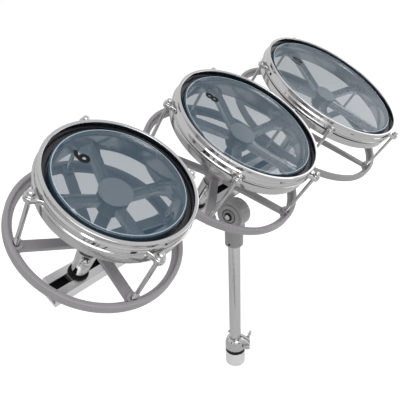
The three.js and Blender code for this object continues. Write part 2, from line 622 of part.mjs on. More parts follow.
function drum({ name, head, along: place, lugs, firstLug }) {
  const skinRadius = head / 2;
  const hoopInner = skinRadius + HOOP_GAP;
  const lugCircle = hoopInner + LUG_PROUD;
  const ringOuter = ringReach(head);
  const ringInner = ringOuter - LOWER_RING_WALL;
  const rodBore = ROD_RADIUS + ROD_CLEAR;
  const group = new THREE.Group();
  group.position.set(place, RAIL_BACK, railTop);
  const add = (label, solid, finish) => group.add(piece(`${label}_${name}`, solid, finish));
  const atLugs = (solid) => aroundAxis(moved(solid, lugCircle, 0, 0), lugs, firstLug);

  // Pressed hoop: rolled rim, wall, shoulder over the flesh hoop, skirt, flange and ears
  const earBottom = HOOP_TOP - HOOP_HEIGHT;
  const earTop = HOOP_TOP - EAR_TOP_DEPTH;
  const shoulder = HOOP_TOP - HOOP_SHOULDER_DEPTH;
  const rimMiddle = HOOP_TOP - HOOP_RIM_DEPTH / 2;
  const rimBottom = HOOP_TOP - HOOP_RIM_DEPTH;
  const wallOuter = hoopInner + HOOP_WALL;
  const skirtOuter = hoopInner + HOOP_SKIRT_PROUD;
  const skirtInner = skirtOuter - HOOP_WALL;
  const flangeOuter = hoopInner + HOOP_FLANGE_PROUD;
  const flangeTop = earBottom + HOOP_FLANGE_THICKNESS;
  const hoopRing = turned([
    [hoopInner, rimMiddle], [hoopInner + HOOP_WALL / 2, HOOP_TOP],
    [hoopInner + HOOP_RIM_PROUD - HOOP_WALL / 2, HOOP_TOP], [hoopInner + HOOP_RIM_PROUD, rimMiddle],
    [wallOuter, rimBottom], [wallOuter, shoulder + HOOP_WALL], [skirtOuter, shoulder],
    [skirtOuter, flangeTop], [flangeOuter, earBottom + HOOP_FLANGE_THICKNESS / 2], [flangeOuter, earBottom],
    [skirtInner, earBottom], [skirtInner, shoulder - HOOP_WALL / 2], [hoopInner, shoulder],
  ]);
  const earReach = LUG_PROUD - HOOP_SKIRT_PROUD + HOOP_WALL / 2;
  const ear = pin(EAR_RADIUS, earBottom, earTop, BOSS_SIDES).add(block(earReach, 2 * EAR_RADIUS,
    earTop - earBottom, -earReach / 2, 0, (earTop + earBottom) / 2));
  const earBore = pin(rodBore, earBottom - CUT, earTop + CUT, ROD_SIDES);
  add('hoop', hoopRing.add(joined(atLugs(ear))).subtract(joined(atLugs(earBore))), CHROME);

  atLugs(tensionRod(earTop + CLEAR)).forEach((rod, k) => {
    group.add(piece(`tension_rod_${name}_${k + 1}`, rod, CHROME));
  });

  // Film: a flat disc that turns down over the bearing edge
  const filmInner = skinRadius - FILM;
  add('head', turned([
    [0, skinBottom], [filmInner, skinBottom], [filmInner, skinTop - FILM_SKIRT],
    [skinRadius, skinTop - FILM_SKIRT], [skinRadius, skinBottom], [filmInner, skinTop], [0, skinTop],
  ]), FILM_SMOKE);
  const fleshInner = skinRadius + CLEAR;
  const fleshOuter = fleshInner + FLESH_WIDTH;
  const fleshTop = shoulder - HOOP_WALL / 2 - CLEAR;
  add('flesh_hoop', tube(fleshInner, fleshOuter, fleshTop - FLESH_HEIGHT, fleshTop, RING_SIDES), BLACK);

  // Upper frame: bearing edge and polished band over an open channel, ridged spokes and hub
  const shellOuter = filmInner - CLEAR;
  const shellInner = shellOuter - SHELL_WALL;
  const edgeTop = skinBottom - CLEAR;
  const bandTop = HOOP_TOP - BAND_TOP_DEPTH;
  const bandBottom = bandTop - BAND_HEIGHT;
  const bandOuter = hoopInner + BAND_PROUD;
  const channelTop = bandTop - BAND_WALL;
  const shell = turned([
    [shellInner, bandBottom], [shellOuter, bandBottom], [shellOuter, channelTop],
    [bandOuter - BAND_WALL, channelTop], [bandOuter - BAND_WALL, bandBottom], [bandOuter, bandBottom],
    [bandOuter, bandTop], [shellOuter, bandTop + SHELL_EDGE], [shellOuter, edgeTop - SHELL_EDGE],
    [shellOuter - SHELL_EDGE, edgeTop], [shellInner, edgeTop - SHELL_WALL],
  ]);
  const hubTopOfSpoke = upperHubTop - UPPER_SPOKE_RIDGE;
  const rimTopOfSpoke = bandBottom + UPPER_SPOKE_DEPTH;
  const spokeEnd = shellInner + SHELL_WALL / 2;
  const flareStart = shellInner - UPPER_SPOKE_FLARE;
  const spokeSection = (reach, width, shoulderHeight) => [
    [reach, -width / 2, shoulderHeight - UPPER_SPOKE_DEPTH], [reach, width / 2, shoulderHeight - UPPER_SPOKE_DEPTH],
    [reach, width / 2, shoulderHeight], [reach, 0, shoulderHeight + UPPER_SPOKE_RIDGE],
    [reach, -width / 2, shoulderHeight],
  ];
  const spoke = loft([
    spokeSection(STUD_RADIUS + STUD_CLEAR, UPPER_SPOKE_HUB_WIDTH, hubTopOfSpoke),
    spokeSection(CAP_RADIUS + CAP_DOME, UPPER_SPOKE_HUB_WIDTH, hubTopOfSpoke),
    spokeSection(flareStart, UPPER_SPOKE_WAIST_WIDTH, rimTopOfSpoke),
    spokeSection(spokeEnd, UPPER_SPOKE_RIM_WIDTH, rimTopOfSpoke),
  ]);
  const hub = pin(UPPER_HUB_RADIUS, upperHubBottom, upperHubTop, TUBE_SIDES);
  const upperBore = pin(studBore, upperHubBottom - CUT, upperHubTop + CUT);
  add('upper_frame', joined([shell, hub, ...aroundAxis(spoke, lugs, firstLug)]).subtract(upperBore), CHROME);

  const capBottom = upperHubTop + CLEAR;
  const capTop = capBottom + CAP_THICKNESS;
  add('hub_cap', turned([
    [0, capBottom], [CAP_RADIUS, capBottom], [CAP_RADIUS, capTop - CAP_DOME],
    [CAP_RADIUS - CAP_DOME, capTop], [0, capTop],
  ], TUBE_SIDES), CASTING);

  // Lower frame: ring with a ledge inside, a boss at each lug, and spokes that fall to a threaded hub
  const ledgeInner = ringInner - LOWER_LEDGE;
  const lowerRing = turned([
    [ledgeInner, lowerRingBottom], [ringOuter, lowerRingBottom],
    [ringOuter, LOWER_RING_TOP - LOWER_RING_CHAMFER], [ringOuter - LOWER_RING_CHAMFER, LOWER_RING_TOP],
    [ringInner, LOWER_RING_TOP], [ringInner, ledgeTop], [ledgeInner, ledgeTop],
  ]);
  const armTop = ledgeTop - LOWER_SPOKE_FALL;
  const armSection = (reach, width, bottom, top) => [
    [reach, -width / 2, bottom], [reach, width / 2, bottom], [reach, width / 2, top], [reach, -width / 2, top],
  ];
  const arm = loft([
    armSection(STUD_RADIUS, LOWER_SPOKE_WIDTH, armTop - LOWER_SPOKE_THICKNESS, armTop),
    armSection(LOWER_HUB_RADIUS, LOWER_SPOKE_WIDTH, armTop - LOWER_SPOKE_THICKNESS, armTop),
    armSection(lugCircle - ROD_NUT_RADIUS - CLEAR, LOWER_SPOKE_RIM_WIDTH, lowerRingBottom, ledgeTop),
    armSection(ringInner + LOWER_RING_WALL / 2, LOWER_PAD_WIDTH, lowerRingBottom, ledgeTop),
  ]);
  const arms = aroundAxis(arm, lugs, firstLug);
  const boss = pin(LOWER_BOSS_RADIUS, lowerRingBottom, LOWER_RING_TOP - LOWER_BOSS_DROP, BOSS_SIDES);
  const lowerHub = pin(LOWER_HUB_RADIUS, lowerHubBottom, lowerHubTop, TUBE_SIDES);
  const lowerBore = pin(studBore, lowerHubBottom - CUT, lowerHubTop + CUT);
  const footBore = pin(rodBore, lowerRingBottom - CUT, LOWER_RING_TOP + CUT, ROD_SIDES);
  add('lower_frame', joined([lowerRing, lowerHub, ...arms, ...atLugs(boss)]).subtract(lowerBore)
    .subtract(joined(atLugs(footBore))), CASTING);

  add('post', post(), CASTING);
  add('rail_clamp', railClamp(), CHROME);
  add('t_bolt', tBolt(), STEEL);
  add('thumb_screw', thumbScrew(), CHROME);
  return group;
}

for (const size of DRUMS) tilted.add(drum(size));

export default set;
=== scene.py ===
# %% [markdown]
# # A set of three tuned frame drums
#
# Three shell-less drums stand on threaded posts, their posts are clamped to one slotted rail,
# and the rail lies on a tilter at the top of a stand tube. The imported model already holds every
# part at its real size. This lesson gives each part its surface: rolled and plated steel,
# enamelled castings, a smoky see-through film and the small screws that hold them together.

# %% Load the frame
import json
import math

import bmesh
import bpy
from mathutils import Matrix, Vector

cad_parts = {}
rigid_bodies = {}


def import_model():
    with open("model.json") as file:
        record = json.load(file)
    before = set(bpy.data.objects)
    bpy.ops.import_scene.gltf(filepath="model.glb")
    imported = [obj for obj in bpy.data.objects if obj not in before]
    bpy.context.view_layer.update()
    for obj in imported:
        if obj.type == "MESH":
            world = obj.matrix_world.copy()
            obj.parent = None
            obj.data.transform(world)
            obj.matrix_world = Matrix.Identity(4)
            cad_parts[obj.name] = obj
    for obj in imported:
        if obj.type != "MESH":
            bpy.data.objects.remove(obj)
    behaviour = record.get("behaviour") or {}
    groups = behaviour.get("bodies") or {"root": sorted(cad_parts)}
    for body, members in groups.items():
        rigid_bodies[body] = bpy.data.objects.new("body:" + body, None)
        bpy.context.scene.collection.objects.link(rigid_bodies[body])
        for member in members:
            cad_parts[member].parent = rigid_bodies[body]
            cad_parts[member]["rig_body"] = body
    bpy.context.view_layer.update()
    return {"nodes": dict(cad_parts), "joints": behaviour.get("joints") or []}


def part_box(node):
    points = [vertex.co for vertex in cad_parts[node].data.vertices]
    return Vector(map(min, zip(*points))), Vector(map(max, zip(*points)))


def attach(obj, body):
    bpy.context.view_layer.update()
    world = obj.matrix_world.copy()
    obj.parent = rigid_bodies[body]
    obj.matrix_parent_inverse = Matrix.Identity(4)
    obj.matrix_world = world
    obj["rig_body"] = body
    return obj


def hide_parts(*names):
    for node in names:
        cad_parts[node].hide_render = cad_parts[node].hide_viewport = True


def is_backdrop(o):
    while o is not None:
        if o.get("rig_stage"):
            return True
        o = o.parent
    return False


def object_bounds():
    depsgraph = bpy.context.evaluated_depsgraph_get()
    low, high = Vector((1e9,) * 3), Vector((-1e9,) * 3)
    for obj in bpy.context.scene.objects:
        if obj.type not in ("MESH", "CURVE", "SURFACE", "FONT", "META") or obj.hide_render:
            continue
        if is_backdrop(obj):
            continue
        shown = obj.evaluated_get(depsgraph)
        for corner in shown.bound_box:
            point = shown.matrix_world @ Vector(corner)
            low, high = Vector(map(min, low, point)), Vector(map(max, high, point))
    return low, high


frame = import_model()

# %% [markdown]
# ## The camera
#
# The set is seen from the player's left, from a little above. The camera's place and its two
# directions were worked out from the round hoops and the straight screws, so that every part
# falls where it does in the picture. Lens and sensor together fix the angle of view.

# %% Camera
MM = 0.001
SENSOR = 36.0
LENS = 44.2
CAMERA_PLACE = Vector((-699.1, -458.8, 756.5)) * MM
LOOK = Vector((0.7238, 0.5566, -0.4078))
DOWN = Vector((-0.3487, -0.2149, -0.9122))


def camera_at(place, look, down):
    """A camera whose view runs along look and whose picture's lower edge lies towards down."""
    back = -look.normalized()
    right = (-down).cross(back).normalized()
    up = back.cross(right)
    data = bpy.data.cameras.new("camera")
    data.sensor_width = SENSOR
    data.lens = LENS
    camera = bpy.data.objects.new("camera", data)
    camera.matrix_world = Matrix.Translation(place) @ Matrix((right, up, back)).transposed().to_4x4()
    bpy.context.scene.collection.objects.link(camera)
    bpy.context.scene.camera = camera


camera_at(CAMERA_PLACE, LOOK, DOWN)
print("the camera stands at", tuple(CAMERA_PLACE))

# %% [markdown]
# ## Node helpers
#
# Materials here are made of nodes, and a few steps come back: an empty group with named sockets,
# a number or a link on a socket, a noise spread over a range, a group placed in a material, and a
# bump. A noise texture seldom reaches 0 or 1, so the spread starts from the middle of its range.

# %% Node helpers
NOISE_LOW = 0.3
NOISE_HIGH = 0.7


def group(name, inputs, outputs):
    """An empty node group with named number sockets."""
    tree = bpy.data.node_groups.new(name, "ShaderNodeTree")
    for socket, default in inputs:
        made = tree.interface.new_socket(name=socket, in_out="INPUT", socket_type="NodeSocketFloat")
        made.default_value = default
    for socket in outputs:
        tree.interface.new_socket(name=socket, in_out="OUTPUT", socket_type="NodeSocketFloat")
    return tree, tree.nodes.new("NodeGroupInput"), tree.nodes.new("NodeGroupOutput")


def feed(tree, value, socket):
    """Links a socket, or sets a number, on another socket."""
    if isinstance(value, bpy.types.NodeSocket):
        tree.links.new(value, socket)
    else:
        socket.default_value = value


def noise(tree, vector, scale, detail):
    """A noise texture on the given coordinates."""
    node = tree.nodes.new("ShaderNodeTexNoise")
    node.inputs["Detail"].default_value = detail
    tree.links.new(vector, node.inputs["Vector"])
    feed(tree, scale, node.inputs["Scale"])
    return node.outputs["Fac"]


def spread(tree, value, low, high):
    """Spreads the middle of a noise's range over the range from low to high."""
    node = tree.nodes.new("ShaderNodeMapRange")
    node.inputs["From Min"].default_value = NOISE_LOW
    node.inputs["From Max"].default_value = NOISE_HIGH
    tree.links.new(value, node.inputs["Value"])
    feed(tree, low, node.inputs["To Min"])
    feed(tree, high, node.inputs["To Max"])
    return node.outputs["Result"]


def use_group(material, tree, **values):
    """Places a node group in a material with its own values."""
    node = material.node_tree.nodes.new("ShaderNodeGroup")
    node.node_tree = tree
    for socket, value in values.items():
        node.inputs[socket.replace("_", " ")].default_value = value
    return node


def bump(material, height, strength, distance):
    """A bump from a height, linked to the shader's normal."""
    node = material.node_tree.nodes.new("ShaderNodeBump")
    node.inputs["Strength"].default_value = strength
    node.inputs["Distance"].default_value = distance
    material.node_tree.links.new(height, node.inputs["Height"])
    shader = material.node_tree.nodes["Principled BSDF"]
    material.node_tree.links.new(node.outputs["Normal"], shader.inputs["Normal"])


print("noises are read from", NOISE_LOW, "to", NOISE_HIGH)

# %% [markdown]
# ## Shared surface effects
#
# Two effects come back in many finishes, so each is a node group with its own inputs. Handling
# leaves every plated or painted surface a little uneven in gloss. Castings also have a faint
# orange-peel skin where the enamel flowed over the mould's grain. Both read object coordinates,
# in metres, so the grain has one real scale on every piece.

# %% Handled gloss and cast skin
RUB_SCALE = 900.0
GRAIN_SCALE = 700.0
CLOUD_SCALE = 14.0
CLOUD_TONES = (0.92, 1.08)


def handled_gloss():
    """Uneven gloss from handling: cloudy patches with fine rub marks in them."""
    tree, start, end = group("handled_gloss", [("Patch Scale", 30.0), ("Shiny", 0.1), ("Dull", 0.25)],
                             ["Roughness", "Height"])
    place = tree.nodes.new("ShaderNodeTexCoord").outputs["Object"]
    cloud = noise(tree, place, start.outputs["Patch Scale"], detail=3.0)
    gloss = spread(tree, cloud, start.outputs["Shiny"], start.outputs["Dull"])
    tree.links.new(gloss, end.inputs["Roughness"])
    tree.links.new(noise(tree, place, RUB_SCALE, detail=2.0), end.inputs["Height"])
    return tree


def cast_skin():
    """The grain of an enamelled casting, and its faint light and dark clouds."""
    tree, start, end = group("cast_skin", [("Grain Scale", GRAIN_SCALE)], ["Tone", "Height"])
    place = tree.nodes.new("ShaderNodeTexCoord").outputs["Object"]
    cloud = noise(tree, place, CLOUD_SCALE, detail=4.0)
    tree.links.new(spread(tree, cloud, *CLOUD_TONES), end.inputs["Tone"])
    grain = noise(tree, place, start.outputs["Grain Scale"], detail=5.0)
    tree.links.new(grain, end.inputs["Height"])
    return tree


HANDLED = handled_gloss()
CAST = cast_skin()
print("node groups:", [tree.name for tree in bpy.data.node_groups])

# %% [markdown]
# ## Finishes
#
# Chrome plate is a mirror: it has hardly any colour of its own, and what it shows is the room.
# Small changes in its gloss keep it from looking like glass. The rail and the tubes are duller
# metal, and the spokes, hubs and caps under the film are only partly metallic, which gives them a
# soft satin look. The lower frames are castings under grey enamel. The head is a clear film
# tinted slate blue, through which the frames show darker and the floor lighter. Ink and rubber
# are nearly black and mirror very little, so they stay black in a white room.

# %% Metals, enamel, rubber and film
ENAMEL_PATCHES = 40.0
FILM_PATCHES = 12.0
RUB_DEPTH = 0.02 * MM
GRAIN_DEPTH = 0.1 * MM
FILM_WAVES = 0.05 * MM
FAINT = 0.02
DULL_SPECULAR = 0.15


def finish(name, color, metallic):
    """A material with a colour and a metallic value."""
    material = bpy.data.materials.new(name)
    material.use_nodes = True
    shader = material.node_tree.nodes["Principled BSDF"]
    shader.inputs["Base Color"].default_value = (*color, 1)
    shader.inputs["Metallic"].default_value = metallic
    return material, shader


def uneven_gloss(material, patch_scale, shiny, dull):
    """Links handled gloss to a material's roughness, and gives its height."""
    gloss = use_group(material, HANDLED, Patch_Scale=patch_scale, Shiny=shiny, Dull=dull)
    shader = material.node_tree.nodes["Principled BSDF"]
    material.node_tree.links.new(gloss.outputs["Roughness"], shader.inputs["Roughness"])
    return gloss.outputs["Height"]


def metal(name, color, shiny, dull, patch_scale=30.0, rub=FAINT, metallic=1.0):
    """Plated or bare metal with uneven gloss and fine rub marks."""
    material, _ = finish(name, color, metallic)
    bump(material, uneven_gloss(material, patch_scale, shiny, dull), rub, RUB_DEPTH)
    return material


def enamel(name, color, shiny, dull, grain=0.25):
    """Enamel or rubber over a casting's skin."""
    material, shader = finish(name, color, 0.0)
    uneven_gloss(material, ENAMEL_PATCHES, shiny, dull)
    tree = material.node_tree
    skin = use_group(material, CAST, Grain_Scale=GRAIN_SCALE)
    tint = tree.nodes.new("ShaderNodeVectorMath")
    tint.operation = "SCALE"
    tint.inputs[0].default_value = color
    tree.links.new(skin.outputs["Tone"], tint.inputs["Scale"])
    tree.links.new(tint.outputs["Vector"], shader.inputs["Base Color"])
    bump(material, skin.outputs["Height"], grain, GRAIN_DEPTH)
    return material


def mirror_little(material):
    """Turns a material's mirror-like part down."""
    material.node_tree.nodes["Principled BSDF"].inputs["Specular IOR Level"].default_value = DULL_SPECULAR


def film(name, color, alpha):
    """Tinted plastic film. Light passes both of its faces, so each face holds back only part."""
    material, shader = finish(name, color, 0.0)
    height = uneven_gloss(material, FILM_PATCHES, shiny=0.1, dull=0.16)
    shader.inputs["Alpha"].default_value = alpha
    mirror_little(material)
    bump(material, height, FAINT, FILM_WAVES)
    return material


CHROME = metal("chrome_plate", (0.485, 0.48, 0.485), shiny=0.03, dull=0.08)
BRIGHT_CASTING = metal("plated_casting", (0.46, 0.455, 0.46), shiny=0.12, dull=0.24)
RAIL_METAL = metal("drawn_rail", (0.72, 0.715, 0.725), shiny=0.32, dull=0.42, patch_scale=50.0, rub=0.05)
TUBE_METAL = metal("plated_tube", (0.52, 0.515, 0.525), shiny=0.14, dull=0.22, patch_scale=20.0)
STUB_METAL = metal("pale_tube", (0.78, 0.775, 0.78), shiny=0.3, dull=0.4, patch_scale=20.0)
STEEL = metal("turned_steel", (0.30, 0.295, 0.29), shiny=0.28, dull=0.42, patch_scale=80.0)
FLESH_BLACK = metal("black_channel", (0.035, 0.036, 0.042), shiny=0.2, dull=0.4, patch_scale=60.0,
                    rub=0.05, metallic=0.6)
SATIN_CASTING = metal("satin_casting", (0.58, 0.58, 0.585), shiny=0.22, dull=0.34, metallic=0.7)
# The hub's dark grey is painted shade from the cap over it.
HUB_SHADE_CASTING = metal("hub_casting", (0.20, 0.19, 0.185), shiny=0.35, dull=0.5, metallic=0.4)
CAP_PLATE = metal("cap_plate", (0.92, 0.93, 0.95), shiny=0.3, dull=0.45, metallic=0.2)
GREY_ENAMEL = enamel("grey_enamel", (0.285, 0.275, 0.285), shiny=0.34, dull=0.46)
POST_ENAMEL = enamel("post_enamel", (0.27, 0.265, 0.27), shiny=0.22, dull=0.32, grain=0.1)
# Black rubber. The same black also paints the shade in the rail's channel and on the tilter's face.
BLACK = enamel("black_rubber", (0.012, 0.012, 0.013), shiny=0.45, dull=0.6)
FILM = film("smoke_film", (0.05, 0.097, 0.138), alpha=0.42)
# A pale film that paints the highlight along the crease.
CREASE_HIGHLIGHT_FILM = film("creased_film", (0.62, 0.72, 0.82), alpha=0.6)
INK = enamel("black_ink", (0.008, 0.008, 0.009), shiny=0.7, dull=0.8, grain=0.0)
for dull_black in (BLACK, INK):
    mirror_little(dull_black)
print("finishes:", [material.name for material in bpy.data.materials])

# %% [markdown]
# ## Outlines and turned pieces
#
# Most of the set was turned, spun or rolled, so most of its pieces begin as an outline of radius
# and height that is spun round an axis. Real metal has no knife edges, and a highlight needs a
# small round to sit on. So each outline first gets its corners rounded, and only then is it spun.

# %% Round outlines and spin them
RING_STEPS = 128
ROUND_STEPS = 64
SMALL_STEPS = 32
SCREW_STEPS = 24
WELD = 1e-7
SMOOTH_ANGLE = math.radians(38)
CORNER_SHARE = 0.45


def bent(start, control, end, steps):
    """Points of a smooth curve from start to end that is pulled towards control."""
    start, control, end = Vector(start), Vector(control), Vector(end)
    shares = [s / steps for s in range(steps + 1)]
    return [start * (1 - t) ** 2 + control * 2 * t * (1 - t) + end * t * t for t in shares]


def rounded(outline, radius, steps=3, closed=True):
    """The same outline with each corner made a small curve. Corners on the axis stay sharp."""
    points = [Vector(p) for p in outline]
    made = []
    for k, corner in enumerate(points):
        at_end = not closed and k in (0, len(points) - 1)
        if at_end or corner.x <= 0:
            made.append(corner)
            continue
        before, after = points[k - 1] - corner, points[(k + 1) % len(points)] - corner
        start = corner + before.normalized() * min(radius, before.length * CORNER_SHARE)
        end = corner + after.normalized() * min(radius, after.length * CORNER_SHARE)
        made += bent(start, corner, end, steps)
    return made


def spun(outline, steps=RING_STEPS):
    """A bmesh turned round the Z axis from points of radius and height."""
    bm = bmesh.new()
    verts = [bm.verts.new((r, 0, z)) for r, z in outline]
    edges = [bm.edges.new(pair) for pair in zip(verts, verts[1:])]
    if outline[0][0] > 0 and outline[-1][0] > 0:
        edges.append(bm.edges.new((verts[-1], verts[0])))
    bmesh.ops.spin(bm, geom=verts + edges, cent=(0, 0, 0), axis=(0, 0, 1), angle=2 * math.pi,
                   steps=steps, use_merge=True)
    return bm


def piece_from(bm, name, body, material, place=None):
    """An object from a bmesh, moved to its place, smooth up to its hard edges, that rides on a body."""
    if place is not None:
        bm.transform(place)
    bmesh.ops.remove_doubles(bm, verts=bm.verts, dist=WELD)
    bmesh.ops.recalc_face_normals(bm, faces=bm.faces)
    mesh = bpy.data.meshes.new(name)
    bm.to_mesh(mesh)
    bm.free()
    mesh.polygons.foreach_set("use_smooth", [True] * len(mesh.polygons))
    mesh.set_sharp_from_angle(angle=SMOOTH_ANGLE)
    mesh.materials.append(material)
    piece = bpy.data.objects.new(name, mesh)
    bpy.context.scene.collection.objects.link(piece)
    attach(piece, body)
    return piece


print("a large ring is spun in", RING_STEPS, "steps and a screw in", SCREW_STEPS)

# %% [markdown]
# ## One frame for each drum
#
# Each drum turns on its post, so its tuning joint already says where its axis is and which way
# it points. In that upright frame every ring is a plain spun outline. Heights count from the
# rail's top face, and the sizes are read off the solids: a head's radius, a lug's place. A small
# gap stays between pieces that lie on each other.

# %% Measure the drums
GAP = 0.3 * MM
HOOP_GAP = 7.0 * MM


def joint(name):
    """The named joint of the model."""
    return next(j for j in frame["joints"] if j["name"] == name)


class Drum:
    """A drum's own upright frame and the sizes of its solids in it."""

    def __init__(self, name):
        turn = joint(f"tune_turn_{name}")
        up = Vector(turn["axis"]).normalized()
        self.name = name
        self.axes = (Vector((1, 0, 0)), up.cross(Vector((1, 0, 0))), up)
        self.origin = Vector(turn["pos_m"])
        self.origin += up * (self.size(f"rail_clamp_{name}")[2] - GAP)
        self.place = Matrix(self.axes).transposed().to_4x4()
        self.place.translation = self.origin
        rods = sorted(n for n in frame["nodes"] if n.startswith(f"tension_rod_{name}_"))
        self.lugs = [self.center(rod) for rod in rods]
        self.skin = self.size(f"head_{name}")[1]
        self.top = self.size(f"hoop_{name}")[3]
        self.hoop = self.skin + HOOP_GAP

    def points(self, node):
        """A solid's corners in the drum's frame."""
        offsets = [v.co - self.origin for v in frame["nodes"][node].data.vertices]
        return [Vector([offset.dot(axis) for axis in self.axes]) for offset in offsets]

    def center(self, node):
        """The middle of a solid, as radius and angle round the drum."""
        points = self.points(node)
        middle = sum(points, Vector((0, 0, 0))) / len(points)
        return math.hypot(middle.x, middle.y), math.atan2(middle.y, middle.x)

    def size(self, node):
        """Inner radius, outer radius, bottom and top of a solid."""
        points = self.points(node)
        radii = [math.hypot(p.x, p.y) for p in points]
        heights = [p.z for p in points]
        return min(radii), max(radii), min(heights), max(heights)

    def at_lug(self, lug):
        """A frame at a lug, with X pointing outwards."""
        return self.towards_lug(lug) @ Matrix.Translation((lug[0], 0, 0))

    def towards_lug(self, lug):
        """A frame on the drum's axis, with X pointing to a lug."""
        return self.place @ Matrix.Rotation(lug[1], 4, "Z")

    def add(self, label, bm, body, material, slot, place=None, replaces=None):
        """Adds a piece of this drum, which may stand for a solid of the same drum."""
        piece = piece_from(bm, f"{label}_{self.name}", f"{body}_{self.name}", material,
                           place or self.place)
        if replaces:
            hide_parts(f"{replaces}_{self.name}")
        return piece


drums = [Drum(name) for name in ("6", "8", "10")]
for drum in drums:
    print("drum", drum.name, "has", len(drum.lugs), "lugs, its head's radius is",
          round(drum.skin / MM, 1), "and its hoop's top is at", round(drum.top / MM, 1))

# %% [markdown]
# ## Plates and lofts
#
# Ears, spokes and arms are not round. A plate is a flat outline, extruded and with its long edges
# bevelled. A spoke that changes its width and height along its way is a row of cross sections
# with one skin bridged over them, as a boat's planks go over its ribs.

# %% Raise an outline, bridge sections
SHARP_ANGLE = math.radians(35)


def raised(outline, low, high, edge=0.0, segments=2):
    """A flat outline in X and Y raised from low to high, with its two rims bevelled."""
    bm = bmesh.new()
    face = bm.faces.new([bm.verts.new((p[0], p[1], low)) for p in outline])
    lifted = bmesh.ops.extrude_face_region(bm, geom=[face])["geom"]
    top = [v for v in lifted if isinstance(v, bmesh.types.BMVert)]
    bmesh.ops.translate(bm, verts=top, vec=(0, 0, high - low))
    bmesh.ops.recalc_face_normals(bm, faces=bm.faces)
    if edge:
        rims = [e for e in bm.edges if abs(e.verts[0].co.z - e.verts[1].co.z) < WELD]
        bmesh.ops.bevel(bm, geom=rims, offset=edge, affect="EDGES", segments=segments, profile=0.5,
                        material=-1)
    return bm


def bridged(sections, edge):
    """A closed skin over cross sections with equal numbers of corners, its sharp edges bevelled."""
    bm = bmesh.new()
    loops = []
    for section in sections:
        verts = [bm.verts.new(p) for p in section]
        loops.append([bm.edges.new((verts[k - 1], verts[k])) for k in range(len(verts))])
    for one, other in zip(loops, loops[1:]):
        bmesh.ops.bridge_loops(bm, edges=one + other)
    bmesh.ops.holes_fill(bm, edges=loops[0] + loops[-1], sides=0)
    bmesh.ops.recalc_face_normals(bm, faces=bm.faces)
    sharp = [e for e in bm.edges if e.is_manifold and e.calc_face_angle(0) > SHARP_ANGLE]
    bmesh.ops.bevel(bm, geom=sharp, offset=edge, affect="EDGES", segments=2, profile=0.5, material=-1)
    return bm


def both_sides(points):
    """An outline that is drawn on one side of the X axis and mirrored on the other."""
    return [(p[0], p[1]) for p in points] + [(p[0], -p[1]) for p in reversed(points)]


print("a bridged piece's edges over", round(math.degrees(SHARP_ANGLE)), "degrees get a bevel")

# %% [markdown]
# ## The hoop
#
# The hoop is one strip of steel, rolled and welded. Its top edge is folded over into a round rim,
# a straight wall drops from it, a step runs out over the flesh hoop, and a flange at the foot
# keeps it round. Spinning one outline gives all four. The ears that take the screws are pressed
# from the same sheet, so they flow out of the flange with a wide foot and a round end.

# %% Hoops and ears
HOOP_WALL = 1.8 * MM
RIM_PROUD = 4.4 * MM
RIM_HEIGHT = 3.0 * MM
STEP_DEPTH = 9.5 * MM
SKIRT_PROUD = 4.4 * MM
FLANGE_PROUD = 6.4 * MM
FLANGE_HEIGHT = 2.0 * MM
HOOP_ROUND = 0.9 * MM
HOOP_HEIGHT = 17.5 * MM
EAR_RADIUS = 6.5 * MM
EAR_FOOT = 12.0 * MM
EAR_DEPTH = 11.0 * MM
EAR_EDGE = 1.2 * MM
EAR_TURNS = range(75, -1, -15)


def hoop(drum):
    """The rolled ring of a hoop and its pressed ears."""
    inner, top = drum.hoop, drum.top
    bottom = top - HOOP_HEIGHT
    step = top - STEP_DEPTH
    skirt = inner + SKIRT_PROUD
    outline = [
        (inner, top), (inner + RIM_PROUD, top), (inner + RIM_PROUD, top - RIM_HEIGHT),
        (inner + HOOP_WALL, top - RIM_HEIGHT), (inner + HOOP_WALL, step + HOOP_WALL), (skirt, step),
        (skirt, bottom + FLANGE_HEIGHT), (inner + FLANGE_PROUD, bottom + FLANGE_HEIGHT),
        (inner + FLANGE_PROUD, bottom), (skirt - HOOP_WALL, bottom),
        (skirt - HOOP_WALL, step - HOOP_WALL), (inner, step),
    ]
    drum.add("rolled_hoop", spun(rounded(outline, HOOP_ROUND)), "tension", CHROME, "chrome",
             replaces="hoop")
    for k, lug in enumerate(drum.lugs, 1):
        foot = skirt - HOOP_WALL - lug[0]
        side = bent((foot, EAR_FOOT), (foot / 2, EAR_RADIUS), (0, EAR_RADIUS), steps=5)
        side += [Vector((math.cos(t), math.sin(t))) * EAR_RADIUS for t in map(math.radians, EAR_TURNS)]
        ear = raised(both_sides(side[:-1]), bottom, top - EAR_DEPTH, EAR_EDGE, segments=3)
        drum.add(f"hoop_ear_{k}", ear, "tension", CHROME, "chrome", drum.at_lug(lug))


for drum in drums:
    hoop(drum)
print("hoops done, each with an ear for every lug")

# %% [markdown]
# ## Tension screws
#
# A drum-key screw hangs in each ear on a domed washer and is threaded into the lower frame.
# Its head is a small turned button with a rounded top, and the thread shows over its last
# stretch. The thread is a plain saw-tooth in the outline: at this size a helix looks the same.

# %% Tension screws
SCREW_RADIUS = 2.6 * MM
SCREW_PITCH = 0.8 * MM
SCREW_THREAD = 26.0 * MM
THREAD_DEPTH = 0.4
WASHER_RADIUS = 5.6 * MM
WASHER_HEIGHT = 1.2 * MM
BUTTON_RADIUS = 3.8 * MM
BUTTON_DOME = 0.6
NUT_RADIUS = 5.0 * MM
NUT_HEIGHT = 4.0 * MM
SMALL_ROUND = 0.4 * MM


def thread(radius, low, high, pitch):
    """A saw-tooth outline between two heights. Its depth is a share of the pitch."""
    turns = int((high - low) / pitch)
    crests = [(radius, low + k * pitch) for k in range(turns + 1)]
    roots = [(radius - pitch * THREAD_DEPTH, low + (k + 0.5) * pitch) for k in range(turns)]
    return [point for pair in zip(crests, roots) for point in pair] + [crests[-1]]


